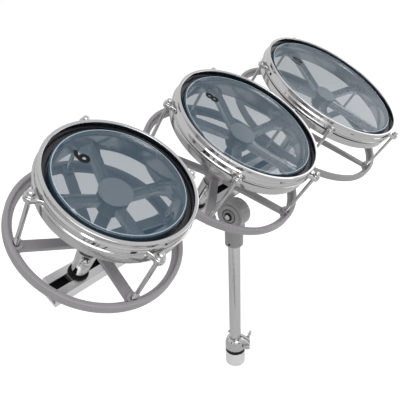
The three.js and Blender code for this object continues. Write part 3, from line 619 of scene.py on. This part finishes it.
def tension_screw(drum, number, lug):
    """A key screw with its washer, and the nut at its foot."""
    _, _, low, high = drum.size(f"tension_rod_{drum.name}_{number}")
    seat = drum.top - EAR_DEPTH + GAP
    washer = seat + WASHER_HEIGHT
    shaft = [(0, low)] + thread(SCREW_RADIUS, low, low + SCREW_THREAD, SCREW_PITCH)
    button = [
        (SCREW_RADIUS, seat), (WASHER_RADIUS, seat), (WASHER_RADIUS - SMALL_ROUND, washer),
        (BUTTON_RADIUS, washer), (BUTTON_RADIUS, high - WASHER_HEIGHT),
        (BUTTON_RADIUS * BUTTON_DOME, high - SMALL_ROUND / 2), (0, high),
    ]
    outline = shaft + rounded(button, SMALL_ROUND, closed=False)
    screw = drum.add(f"key_screw_{number}", spun(outline, SCREW_STEPS), "tension", CHROME, "chrome",
                     drum.at_lug(lug))
    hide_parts(f"tension_rod_{drum.name}_{number}")
    corners = [math.radians(turn) for turn in range(0, 360, 60)]
    hexagon = [(NUT_RADIUS * math.cos(t), NUT_RADIUS * math.sin(t)) for t in corners]
    drum.add(f"rod_nut_{number}", raised(hexagon, low, low + NUT_HEIGHT, SMALL_ROUND), "tension",
             STEEL, "chrome", drum.at_lug(lug))


for drum in drums:
    for number, lug in enumerate(drum.lugs, 1):
        tension_screw(drum, number, lug)
print("screws done:", sum(len(drum.lugs) for drum in drums))

# %% [markdown]
# ## Head and flesh hoop
#
# The head is a film that is crimped into a metal channel, the flesh hoop, which is coloured near
# black. It lies flat, rolls over the bearing edge and drops inside the hoop. The stretched crease
# catches the light, so a thin pale ring of painted highlight lies along it. Between the crease and
# the chrome wall one looks down on the flesh hoop in its shadow: that is the dark band.

# %% Film and flesh hoop
CREASE = 2.2 * MM
CREASE_LINE = 0.9 * MM
FILM_THICKNESS = 0.6 * MM
FLESH_ROUND = 1.6 * MM
PRINT_THICKNESS = 0.05 * MM


def head(drum):
    """The film with its rolled edge and its crease, a painted highlight along the crease, and the channel
    that holds it.
    """
    _, radius, bottom, top = drum.size(f"head_{drum.name}")
    inner = radius - FILM_THICKNESS
    under = top - FILM_THICKNESS
    outline = [(0, under)]
    outline += bent((inner - CREASE, under), (inner, under), (inner, top - CREASE), steps=4)
    outline += [(inner, bottom), (radius, bottom)]
    outline += bent((radius, top - CREASE), (radius, top), (radius - CREASE, top), steps=5)
    outline += [(0, top)]
    drum.add("film_head", spun(outline), "tuner", FILM, "smoke_film", replaces="head")
    # The pale ring along the crease is a painted highlight.
    start = radius - CREASE - CREASE_LINE
    line = [(start, top - PRINT_THICKNESS), (start + CREASE_LINE, top - PRINT_THICKNESS),
            (start + CREASE_LINE, top + PRINT_THICKNESS), (start, top + PRINT_THICKNESS)]
    drum.add("crease_line", spun(line), "tuner", CREASE_HIGHLIGHT_FILM, "smoke_film")
    low_in, low_out, low, high = drum.size(f"flesh_hoop_{drum.name}")
    outline = [(low_in, low), (low_out, low), (low_out, high), (low_in, high)]
    # The channel is coloured near black.
    drum.add("channel_hoop", spun(rounded(outline, FLESH_ROUND)), "tension", FLESH_BLACK,
             "black_rubber", replaces="flesh_hoop")


print("the pale crease starts", round((CREASE + CREASE_LINE) / MM, 1), "mm inside the film's edge")

# %% [markdown]
# ## The printed number
#
# Each film carries its diameter in inches, in plain figures between its first two lugs, so that
# a player knows which spare head fits. A text object gives the figures their shape. It is made a
# mesh with hardly any thickness, turned a little and laid just above the film.

# %% Numbers
NUMBER_SIZE = 27.0 * MM
NUMBER_BOLD = 1.0 * MM
NUMBER_TURN = math.radians(18)
NUMBER_REACH = 0.62
NUMBER_PAST_LUG = math.radians(42)


def head_number(drum):
    """A drum's size in inches, printed on its film."""
    text = bpy.data.curves.new("number", "FONT")
    text.body = drum.name
    text.size = NUMBER_SIZE
    text.extrude = PRINT_THICKNESS
    text.offset = NUMBER_BOLD
    text.align_x, text.align_y = "CENTER", "CENTER"
    holder = bpy.data.objects.new("number", text)
    bm = bmesh.new()
    bm.from_mesh(bpy.data.meshes.new_from_object(holder))
    bpy.data.objects.remove(holder)
    _, radius, _, top = drum.size(f"head_{drum.name}")
    turn = drum.lugs[0][1] + NUMBER_PAST_LUG
    reach = radius * NUMBER_REACH
    spot = Matrix.Translation((reach * math.cos(turn), reach * math.sin(turn), top + 2 * PRINT_THICKNESS))
    drum.add("head_number", bm, "tuner", INK, "black_rubber",
             drum.place @ spot @ Matrix.Rotation(NUMBER_TURN, 4, "Z"))


for drum in drums:
    head(drum)
    head_number(drum)
print("heads and numbers done:", [drum.name for drum in drums])

# %% [markdown]
# ## The upper frame
#
# This casting carries the bearing edge that the film lies on. Below the hoop its plated band
# shows as a second bright ring. Ridged spokes run from the hub to the band and flare where they
# meet it. Each spoke is bridged over sections that keep one shape and change their width, with a
# back that sinks in on both sides of the ridge.

# %% Upper frames
BAND_TOP_DEPTH = 20.5 * MM
BAND_HEIGHT = 12.0 * MM
BAND_WALL = 4.0 * MM
BAND_PROUD = 4.0 * MM
SHELL_WALL = 4.5 * MM
SHELL_GAP = 0.9 * MM
EDGE_ROUND = 1.5 * MM
SPOKE_DEPTH = 9.0 * MM
SPOKE_EDGE = 0.8 * MM
RIDGE = 5.0 * MM
HOLLOW_WIDTH = 0.25
HOLLOW_HEIGHT = 0.2
SHOULDER_DROP = 2.0 * MM
HUB_SPOKE = 12.0 * MM
WAIST = 13.0 * MM
FLARE = 30.0 * MM
FLARE_LENGTH = 20.0 * MM
FLARE_STEPS = 6
UPPER_HUB_RADIUS = 18.5 * MM
UPPER_HUB_DEPTH = 26.5 * MM
UPPER_HUB_HEIGHT = 20.0 * MM
STUD_BORE = 8.5 * MM
CAP_RADIUS = 20.0 * MM
CAP_ROUND = 1.2 * MM
HUB_ROUND = 1.5 * MM


def spoke_section(reach, width, shoulder):
    """A spoke's cross section: flat sides and foot, and a ridge on a hollow back."""
    half = width / 2
    hollow = (half * HOLLOW_WIDTH, shoulder + RIDGE * HOLLOW_HEIGHT)
    back = bent((half, shoulder), hollow, (0, shoulder + RIDGE), steps=4)
    side = [(half, shoulder - SPOKE_DEPTH)] + [(p[0], p[1]) for p in back]
    whole = side + [(-y, z) for y, z in reversed(side[:-1])]
    return [(reach, y, z) for y, z in whole]


def upper_frame(drum):
    """Band and bearing edge, spokes, hub and the cap over it."""
    outer = drum.skin - SHELL_GAP
    inner = outer - SHELL_WALL
    band = drum.hoop + BAND_PROUD
    band_top = drum.top - BAND_TOP_DEPTH
    bottom = band_top - BAND_HEIGHT
    edge = drum.size(f"head_{drum.name}")[3] - SHELL_GAP
    shell = [
        (inner, bottom), (outer, bottom), (outer, band_top - BAND_WALL),
        (band - BAND_WALL, band_top - BAND_WALL), (band - BAND_WALL, bottom), (band, bottom),
        (band, band_top), (outer, band_top + EDGE_ROUND), (outer, edge), (inner, edge - SHELL_WALL),
    ]
    drum.add("bearing_shell", spun(rounded(shell, EDGE_ROUND)), "tuner", BRIGHT_CASTING,
             "polished_casting", replaces="upper_frame")
    hub_top = drum.top - UPPER_HUB_DEPTH
    at_hub, at_rim = hub_top - RIDGE, bottom + SPOKE_DEPTH - SHOULDER_DROP
    reach = inner + SHELL_WALL / 2
    waist = inner - FLARE_LENGTH
    sections = [spoke_section(STUD_BORE, HUB_SPOKE, at_hub), spoke_section(CAP_RADIUS, HUB_SPOKE, at_hub),
                spoke_section(waist, WAIST, at_rim)]
    for step in range(1, FLARE_STEPS + 1):
        share = step / FLARE_STEPS
        sections.append(spoke_section(waist + (reach - waist) * share,
                                      WAIST + (FLARE - WAIST) * share ** 2, at_rim))
    for k, lug in enumerate(drum.lugs, 1):
        drum.add(f"upper_spoke_{k}", bridged(sections, SPOKE_EDGE), "tuner", SATIN_CASTING,
                 "polished_casting", drum.towards_lug(lug))
    hub_bottom = hub_top - UPPER_HUB_HEIGHT
    hub = [(STUD_BORE, hub_bottom), (UPPER_HUB_RADIUS, hub_bottom), (UPPER_HUB_RADIUS, hub_top),
           (STUD_BORE, hub_top)]
    # The hub is coloured dark as painted shade under the cap.
    drum.add("upper_hub", spun(rounded(hub, HUB_ROUND), ROUND_STEPS), "tuner", HUB_SHADE_CASTING,
             "polished_casting")
    _, radius, low, high = drum.size(f"hub_cap_{drum.name}")
    cap = [(0, low), (radius, low), (radius, high), (0, high)]
    drum.add("round_cap", spun(rounded(cap, CAP_ROUND), ROUND_STEPS), "tuner", CAP_PLATE,
             "polished_casting", replaces="hub_cap")


for drum in drums:
    upper_frame(drum)
print("upper frames done, with", sum(len(drum.lugs) for drum in drums), "spokes")

# %% [markdown]
# ## The lower frame
#
# The lower ring is what the screws pull against. It has an upright wall and a ledge inside. A
# round boss on the ledge takes each screw, and a straight arm falls from there to the hub like
# the side of a shallow dish. Towards the ring the arm widens into a pad, as a fillet would.

# %% Lower frames
LOWER_TOP = 98.1 * MM
LOWER_HEIGHT = 12.5 * MM
LOWER_WALL = 5.5 * MM
LOWER_PROUD = 22.5 * MM
LOWER_CHAMFER = 1.2 * MM
LEDGE = 5.2 * MM
LEDGE_DROP = 8.0 * MM
LOWER_HUB_RADIUS = 18.0 * MM
LOWER_HUB_HEIGHT = 16.0 * MM
LOWER_HUB_DROP = 18.0 * MM
ARM_ROOT = 0.8
ARM_WIDTH = 12.0 * MM
ARM_RIM_WIDTH = 14.0 * MM
ARM_THICKNESS = 8.0 * MM
ARM_FALL = 15.0 * MM
ARM_EDGE = 0.9 * MM
PAD_WIDTH = 32.0 * MM
PAD_STEPS = 6
BOSS_RADIUS = 8.0 * MM
BOSS_DROP = 3.0 * MM
SCREW_BORE = 3.1 * MM
SCREW_MOUTH = 4.6 * MM
MOUTH_DEPTH = 1.8 * MM


def arm_section(reach, width, low, high):
    """A lower arm's plain cross section."""
    half = width / 2
    return [(reach, -half, low), (reach, half, low), (reach, half, high), (reach, -half, high)]


def lower_frame(drum):
    """Ring with its ledge, arms, lug bosses and hub."""
    outer = drum.hoop + LOWER_PROUD
    inner = outer - LOWER_WALL
    ledge = inner - LEDGE
    bottom, ledge_top = LOWER_TOP - LOWER_HEIGHT, LOWER_TOP - LEDGE_DROP
    ring = [(ledge, bottom), (outer, bottom), (outer, LOWER_TOP), (inner, LOWER_TOP), (inner, ledge_top),
            (ledge, ledge_top)]
    drum.add("lower_ring", spun(rounded(ring, LOWER_CHAMFER)), "tension", GREY_ENAMEL, "grey_casting",
             replaces="lower_frame")
    arm_top = ledge_top - ARM_FALL
    arm_low = arm_top - ARM_THICKNESS
    boss_top = LOWER_TOP - BOSS_DROP
    boss = [(SCREW_BORE, bottom), (BOSS_RADIUS, bottom), (BOSS_RADIUS, boss_top),
            (SCREW_MOUTH, boss_top), (SCREW_BORE, boss_top - MOUTH_DEPTH)]
    for k, lug in enumerate(drum.lugs, 1):
        start = lug[0] - NUT_RADIUS - GAP
        end = inner + LOWER_WALL / 2
        sections = [arm_section(LOWER_HUB_RADIUS * ARM_ROOT, ARM_WIDTH, arm_low, arm_top),
                    arm_section(LOWER_HUB_RADIUS, ARM_WIDTH, arm_low, arm_top)]
        for step in range(PAD_STEPS + 1):
            share = step / PAD_STEPS
            sections.append(arm_section(start + (end - start) * share,
                                        ARM_RIM_WIDTH + (PAD_WIDTH - ARM_RIM_WIDTH) * share ** 2,
                                        bottom, ledge_top))
        drum.add(f"lower_arm_{k}", bridged(sections, ARM_EDGE), "tension", GREY_ENAMEL,
                 "grey_casting", drum.towards_lug(lug))
        drum.add(f"lug_boss_{k}", spun(rounded(boss, SMALL_ROUND), SMALL_STEPS), "tension",
                 GREY_ENAMEL, "grey_casting", drum.at_lug(lug))
    high = LOWER_TOP - LOWER_HUB_DROP
    low = high - LOWER_HUB_HEIGHT
    hub = [(STUD_BORE, low), (LOWER_HUB_RADIUS, low), (LOWER_HUB_RADIUS, high), (STUD_BORE, high)]
    drum.add("lower_hub", spun(rounded(hub, HUB_ROUND), ROUND_STEPS), "tension", GREY_ENAMEL,
             "grey_casting")


for drum in drums:
    lower_frame(drum)
print("lower frames done, their top is at", round(LOWER_TOP / MM, 1))

# %% [markdown]
# ## Posts, clamps and thumb screws
#
# A drum is tuned by turning its upper frame on the post: the thread in the hub climbs the stud
# and pushes the film up. The post stands in the socket of a plated cup on the rail, with a rubber
# washer under it and a bright thumb screw in its side. All of these are turned pieces. The
# thumb screw is spun upright and then laid on its side, so that its stem points into the cup.

# %% Posts, clamps, thumb screws
POST_ROUND = 0.8 * MM
POST_RADIUS = 10.5 * MM
TUNE_GAP = 3.5 * MM
STUD_RADIUS = 8.0 * MM
STUD_PITCH = 1.5 * MM
THRUST_HEIGHT = 6.0 * MM
FOOT_HEIGHT = 1.7 * MM
CLAMP_RADIUS = 10.8 * MM
CLAMP_MOUTH = 13.6 * MM
CLAMP_SOCKET = 16.0 * MM
THUMB_HEIGHT = 44.0 * MM
THUMB_TURN = math.radians(220)
THUMB_RADIUS = 8.0 * MM
THUMB_LENGTH = 8.0 * MM
THUMB_STEM = 2.6 * MM
THUMB_EDGE = 1.5 * MM
QUARTER_TURN = math.radians(90)


def post(drum):
    """Post with its threaded stud and thrust collar."""
    _, collar, low, high = drum.size(f"post_{drum.name}")
    post_top = LOWER_TOP - LOWER_HUB_DROP - LOWER_HUB_HEIGHT - TUNE_GAP
    thrust_top = drum.top - UPPER_HUB_DEPTH - UPPER_HUB_HEIGHT - GAP
    thrust_low = thrust_top - THRUST_HEIGHT
    outline = rounded([(0, low), (POST_RADIUS, low), (POST_RADIUS, post_top), (STUD_RADIUS, post_top)],
                      POST_ROUND, closed=False)
    outline += thread(STUD_RADIUS, post_top + STUD_PITCH, thrust_low - STUD_PITCH, STUD_PITCH)
    outline += rounded([(STUD_RADIUS, thrust_low), (collar, thrust_low), (collar, thrust_top),
                        (STUD_RADIUS, thrust_top)], POST_ROUND, closed=False)
    outline += [(STUD_RADIUS, high), (0, high)]
    drum.add("threaded_post", spun(outline, ROUND_STEPS), "carriage", POST_ENAMEL, "grey_casting",
             replaces="post")


def clamp(drum):
    """Conical cup with the socket that the post stands in, and the rubber washer under it."""
    _, foot, low, high = drum.size(f"rail_clamp_{drum.name}")
    body_low = low + FOOT_HEIGHT
    socket = POST_RADIUS + GAP
    outline = [(0, body_low), (CLAMP_RADIUS, body_low), (CLAMP_MOUTH, high), (socket, high),
               (socket, high - CLAMP_SOCKET), (0, high - CLAMP_SOCKET)]
    drum.add("turned_clamp", spun(rounded(outline, POST_ROUND), ROUND_STEPS), "carriage",
             CHROME, "chrome", replaces="rail_clamp")
    washer = [(0, low), (foot, low), (foot, body_low + GAP), (0, body_low + GAP)]
    drum.add("rubber_foot", spun(rounded(washer, SMALL_ROUND), ROUND_STEPS), "carriage", BLACK,
             "black_rubber")


def thumb_screw(drum):
    """A round-headed thumb screw in the clamp's side."""
    stem = POST_RADIUS + GAP
    start = CLAMP_MOUTH + GAP
    end = start + THUMB_LENGTH
    outline = [(0, stem), (THUMB_STEM, stem), (THUMB_STEM, start), (THUMB_RADIUS - THUMB_EDGE, start)]
    outline += bent((THUMB_RADIUS, start + THUMB_EDGE), (THUMB_RADIUS, end), (0, end), steps=12)
    place = drum.place @ Matrix.Translation((0, 0, THUMB_HEIGHT)) @ Matrix.Rotation(THUMB_TURN, 4, "Z")
    place = place @ Matrix.Rotation(QUARTER_TURN, 4, "Y")
    drum.add("ball_screw", spun(outline, SMALL_STEPS), "thumb", CHROME, "chrome", place,
             replaces="thumb_screw")


for drum in drums:
    post(drum)
    clamp(drum)
    thumb_screw(drum)
print("posts, clamps and thumb screws done")

# %% [markdown]
# ## Copies of the model's own solids
#
# A rail, a bracket or a nut already has its true shape in the model, but with knife edges.
# A copy of such a solid is welded, its flat faces are joined, and a narrow bevel runs round its
# hard edges, so the light catches them as it does on real metal.

# %% Dressed copies
COPY_WELD = 1e-6
FLAT_ANGLE = math.radians(1)
HARD_ANGLE = math.radians(40)
NARROW_EDGE = 0.3 * MM
WIDE_EDGE = 1.0 * MM


def dressed(node, material, bevel=0.5 * MM, segments=2):
    """A bevelled copy of a model's solid that stands for it."""
    solid = frame["nodes"][node]
    bm = bmesh.new()
    bm.from_mesh(solid.data)
    bmesh.ops.remove_doubles(bm, verts=bm.verts, dist=COPY_WELD)
    bmesh.ops.dissolve_limit(bm, angle_limit=FLAT_ANGLE, verts=bm.verts, edges=bm.edges)
    piece = piece_from(bm, f"{node}_dressed", solid["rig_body"], material)
    edges = piece.modifiers.new("edges", "BEVEL")
    edges.width = bevel
    edges.segments = segments
    edges.limit_method = "ANGLE"
    edges.angle_limit = HARD_ANGLE
    edges.harden_normals = True
    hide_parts(node)


dressed("rail", RAIL_METAL, bevel=0.6 * MM)
dressed("tilter_lower", POST_ENAMEL, WIDE_EDGE)
dressed("tilter_upper", POST_ENAMEL, WIDE_EDGE)
dressed("tilter_bolt", CHROME)
dressed("tilter_washer", STEEL, NARROW_EDGE)
dressed("tilter_knob", BLACK, bevel=1.2 * MM, segments=3)
dressed("tilter_set_screw", BLACK, NARROW_EDGE)
dressed("height_clamp", CHROME, WIDE_EDGE, segments=3)
dressed("height_wing_bolt", CHROME, bevel=0.9 * MM, segments=3)
dressed("stop_pin", STEEL, NARROW_EDGE)
for side in ("left", "right"):
    dressed(f"bracket_bolt_{side}", STEEL)
for drum in drums:
    dressed(f"t_bolt_{drum.name}", STEEL)
print("dressed copies done")

# %% [markdown]
# ## Painted shade in the rail's channel and on the tilter's face
#
# Hardly any light gets into the rail's channel, so its slot looks black. A thin black skin along
# its floor and walls is painted shade that keeps it so under soft light. Its outline is a flat U
# that is raised along the rail. The tilter's visible face has a groove round its hub and a recess
# round the bolt's head. The shade in both is painted on as thin black rings, which is simpler than
# cutting the copied solid.

# %% Painted shade in the rail and on the tilter
RAIL_WALL = 3.0 * MM
SHADE_GAP = 0.05 * MM
SHADE_THICKNESS = 0.15 * MM
SHADE_INSET = 9.0 * MM
BOLT_PROUD = 3.0 * MM
DISC_STEP = 2.2 * MM
RING_RAISE = 0.08 * MM
GROOVE_RADII = (12.4 * MM, 14.2 * MM)
RECESS_RADII = (5.3 * MM, 8.4 * MM)


def rail_lining(drum):
    """Painted shade inside the rail: a thin black U along its floor and two walls."""
    points = drum.points("rail")
    low = [min(p[k] for p in points) for k in range(3)]
    high = [max(p[k] for p in points) for k in range(3)]
    half = (high[1] - low[1]) / 2 - RAIL_WALL - SHADE_GAP
    height = high[2] - low[2] - 2 * (RAIL_WALL + SHADE_GAP)
    right = [(0, 0), (half, 0), (half, height), (half - SHADE_THICKNESS, height), (half - SHADE_THICKNESS, SHADE_THICKNESS),
             (0, SHADE_THICKNESS)]
    outline = right + [(-x, y) for x, y in reversed(right[1:-1])]
    along = Matrix(((0, 0, 1, 0), (1, 0, 0, 0), (0, 1, 0, 0), (0, 0, 0, 1)))
    corner = Matrix.Translation((low[0], (low[1] + high[1]) / 2, low[2] + RAIL_WALL + SHADE_GAP))
    skin = raised(outline, SHADE_INSET, high[0] - low[0] - SHADE_INSET)
    # The black skin is painted shade in the channel.
    piece_from(skin, "rail_lining", frame["nodes"]["rail"]["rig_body"], BLACK,
               drum.place @ corner @ along)


def painted_shade_ring(label, radii, face):
    """A flat black ring of painted shade on the tilter's visible face, which looks towards -X."""
    inner, outer = radii
    outline = [(inner, face - RING_RAISE), (outer, face - RING_RAISE), (outer, face + RING_RAISE),
               (inner, face + RING_RAISE)]
    place = Matrix.Translation(joint("tilt")["pos_m"]) @ Matrix.Rotation(-QUARTER_TURN, 4, "Y")
    piece_from(spun(outline, ROUND_STEPS), label, frame["nodes"]["tilter_upper"]["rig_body"], BLACK,
               place)


rail_lining(drums[0])
hub_face = -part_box("tilter_bolt")[0].x - BOLT_PROUD
# Black rings paint the shade in the groove and in the recess round the bolt.
painted_shade_ring("face_groove", GROOVE_RADII, hub_face - DISC_STEP)
painted_shade_ring("bolt_recess", RECESS_RADII, hub_face)
print("the tilter's visible face is", round(hub_face / MM, 1), "mm from the middle of its pivot")

# %% [markdown]
# ## Stand tubes and bush
#
# The stand's tubes are plain drawn tubes, and only the bush between them is moulded. They stand
# upright on the origin, so their outlines are spun where they are.

# %% Tubes and bush
TUBE_WALL = 1.5 * MM
SLEEVE_RADIUS = 15.5 * MM
FLANGE = 8.0 * MM


def stand_piece(node, label, outline, body, material):
    """A turned piece of the stand that stands for a solid."""
    piece = piece_from(spun(rounded(outline, SMALL_ROUND), ROUND_STEPS), label, body, material)
    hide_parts(node)


low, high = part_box("upper_tube")
tube = high.x
stand_piece("upper_tube", "drawn_tube", [
    (tube - TUBE_WALL, low.z), (tube, low.z), (tube, high.z), (tube - TUBE_WALL, high.z)],
    "mast", TUBE_METAL)
low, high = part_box("lower_tube")
bore = SLEEVE_RADIUS + GAP
stand_piece("lower_tube", "cut_lower_tube", [
    (bore, low.z), (high.x, low.z), (high.x, high.z), (bore, high.z)],
    "stand_base", STUB_METAL)
low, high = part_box("height_bush")
bore = tube + GAP
stand_piece("height_bush", "moulded_bush", [
    (bore, low.z), (SLEEVE_RADIUS, low.z), (SLEEVE_RADIUS, high.z - FLANGE), (high.x, high.z - FLANGE),
    (high.x, high.z), (bore, high.z)], "bush", BLACK)
print("stand done, the tube's radius is", round(tube / MM, 1))

# %% [markdown]
# ## World and lamps
#
# A product picture is taken in a white room with large soft lights. The camera, mirrors and clear
# things see the world at full white, but it lights the set with only a part of that, so that pale
# surfaces don't clip. Two square lamps on the player's side are large for soft highlights.

# %% World and lamps
MIDDLE = (-0.05, 0.0, 0.5)
WORLD_SEEN = 1.0
WORLD_GIVEN = 0.6


def world_light(seen, given):
    """A white world that looks brighter to the camera and to mirrors than the light it gives."""
    world = bpy.data.worlds.new("white_room")
    world.use_nodes = True
    bpy.context.scene.world = world
    tree = world.node_tree
    background = tree.nodes["Background"]
    background.inputs["Color"].default_value = (1, 1, 1, 1)
    path = tree.nodes.new("ShaderNodeLightPath")
    total = path.outputs["Is Camera Ray"]
    for ray in ("Is Glossy Ray", "Is Transmission Ray"):
        step = tree.nodes.new("ShaderNodeMath")
        step.operation = "MAXIMUM"
        tree.links.new(total, step.inputs[0])
        tree.links.new(path.outputs[ray], step.inputs[1])
        total = step.outputs[0]
    strength = tree.nodes.new("ShaderNodeMapRange")
    strength.inputs["To Min"].default_value = given
    strength.inputs["To Max"].default_value = seen
    tree.links.new(total, strength.inputs["Value"])
    tree.links.new(strength.outputs["Result"], background.inputs["Strength"])


def area_light(name, size, energy, place, aim):
    """A square area light at a place, aimed at a point."""
    data = bpy.data.lights.new(name, "AREA")
    data.shape = "SQUARE"
    data.size = size
    data.energy = energy
    light = bpy.data.objects.new(name, data)
    turn = (Vector(place) - Vector(aim)).to_track_quat("Z", "Y").to_matrix().to_4x4()
    light.matrix_world = Matrix.Translation(place) @ turn
    bpy.context.scene.collection.objects.link(light)


world_light(WORLD_SEEN, WORLD_GIVEN)
area_light("key", size=1.2, energy=22, place=(-1.0, -1.3, 1.9), aim=MIDDLE)
area_light("fill", size=1.5, energy=8, place=(1.6, -0.9, 1.2), aim=MIDDLE)
bpy.context.scene.view_settings.view_transform = "Standard"
print("lamps:", [light.name for light in bpy.data.lights])

# %% [markdown]
# ## Floor
#
# The floor is dull white. Lamps and world alone would leave it pale grey, so it also glows, and
# only the camera sees that glow. The set gets no light from it and keeps its soft shadow.

# %% Floor
FLOOR_SIZE = 60
FLOOR_WHITE = (0.9, 0.9, 0.9)
FLOOR_ROUGHNESS = 0.9
FLOOR_SPECULAR = 0.1
FLOOR_GLOW = 0.46


def card(name, width, height, place, aim, roll=0.0):
    """A flat card, scaled from a square of side 1, that faces a point and is rolled in its plane."""
    bm = bmesh.new()
    bmesh.ops.create_grid(bm, x_segments=1, y_segments=1, size=0.5)
    bmesh.ops.scale(bm, vec=(width, height, 1), verts=bm.verts)
    turn = (Vector(aim) - Vector(place)).to_track_quat("Z", "Y").to_matrix().to_4x4()
    bm.transform(Matrix.Translation(place) @ turn @ Matrix.Rotation(roll, 4, "Z"))
    mesh = bpy.data.meshes.new(name)
    bm.to_mesh(mesh)
    bm.free()
    made = bpy.data.objects.new(name, mesh)
    bpy.context.scene.collection.objects.link(made)
    made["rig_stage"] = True
    return made


def floor_finish(glow):
    """A dull white floor that the camera sees brighter than its light alone makes it."""
    material, shader = finish("floor_white", FLOOR_WHITE, 0.0)
    shader.inputs["Roughness"].default_value = FLOOR_ROUGHNESS
    shader.inputs["Specular IOR Level"].default_value = FLOOR_SPECULAR
    shader.inputs["Emission Color"].default_value = (1, 1, 1, 1)
    tree = material.node_tree
    path = tree.nodes.new("ShaderNodeLightPath")
    strength = tree.nodes.new("ShaderNodeMath")
    strength.operation = "MULTIPLY"
    strength.inputs[1].default_value = glow
    tree.links.new(path.outputs["Is Camera Ray"], strength.inputs[0])
    tree.links.new(strength.outputs[0], shader.inputs["Emission Strength"])
    return material


floor = card("floor", FLOOR_SIZE, FLOOR_SIZE, (0, 0, 0), (0, 0, 1))
floor.data.materials.append(floor_finish(FLOOR_GLOW))
print("floor done, its glow is", FLOOR_GLOW)

# %% [markdown]
# ## Dark cards
#
# In an all-white room chrome would look like white paint. So black cards stand round the set,
# and black strips lie on the floor: five from under the smallest drum out to the left, and one
# between the tube and the camera. Only reflections see them, and they draw the thin dark streaks
# that make chrome read as chrome.
# Each card's row gives its width, its height and its place, and each strip's row gives its place
# across the floor and its width. All of these are in metres.

# %% Cards and strips
CARDS = {
    "card_left": (0.25, 1.4, (-1.5, 0.4, 0.7)),
    "card_front": (0.9, 0.22, (-0.4, -1.6, 0.15)),
    "card_right": (0.3, 1.2, (1.3, -0.8, 0.8)),
    "card_back": (0.16, 1.6, (-0.2, 1.7, 0.7)),
    "card_near": (0.07, 1.3, (-1.5, -0.7, 0.6)),
    "card_side": (0.08, 1.3, (0.5, -1.7, 0.6)),
}
STRIPS = ((-0.2, 0.012), (-0.15, 0.012), (-0.11, 0.03), (-0.06, 0.012), (0.0, 0.012))
STRIP_LENGTH = 1.2
STRIP_MIDDLE = -0.9
STRIP_RAISE = 0.002
TUBE_STRIP_REACH = 0.38
TUBE_STRIP_LENGTH = 0.36
TUBE_STRIP_WIDTH = 0.04
CARD_BLACK = (0.01, 0.01, 0.01)


def floor_strip(name, length, width, x, y, roll=0.0):
    """A flat card that lies face up just above the floor."""
    return card(name, length, width, (x, y, STRIP_RAISE), (x, y, 1), roll)


cards = [card(name, width, height, place, MIDDLE) for name, (width, height, place) in CARDS.items()]
for k, (across, width) in enumerate(STRIPS):
    cards.append(floor_strip(f"strip_{k}", STRIP_LENGTH, width, STRIP_MIDDLE, across))
towards_camera = math.atan2(CAMERA_PLACE.y, CAMERA_PLACE.x)
cards.append(floor_strip("strip_tube", TUBE_STRIP_LENGTH, TUBE_STRIP_WIDTH,
                         TUBE_STRIP_REACH * math.cos(towards_camera),
                         TUBE_STRIP_REACH * math.sin(towards_camera), towards_camera))
card_black, _ = finish("card_black", CARD_BLACK, 0.0)
for dark in cards:
    dark.data.materials.append(card_black)
    dark.visible_camera = False
    dark.visible_diffuse = False
    dark.visible_shadow = False
print("dark cards:", len(cards))

# %% [markdown]
# ## Finish
#
# The dressed set's box is measured and printed. The dressed set must keep inside the
# model's own box.

# %% Measure the dressed set
low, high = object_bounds()
print("the dressed set reaches from", tuple(low), "to", tuple(high))
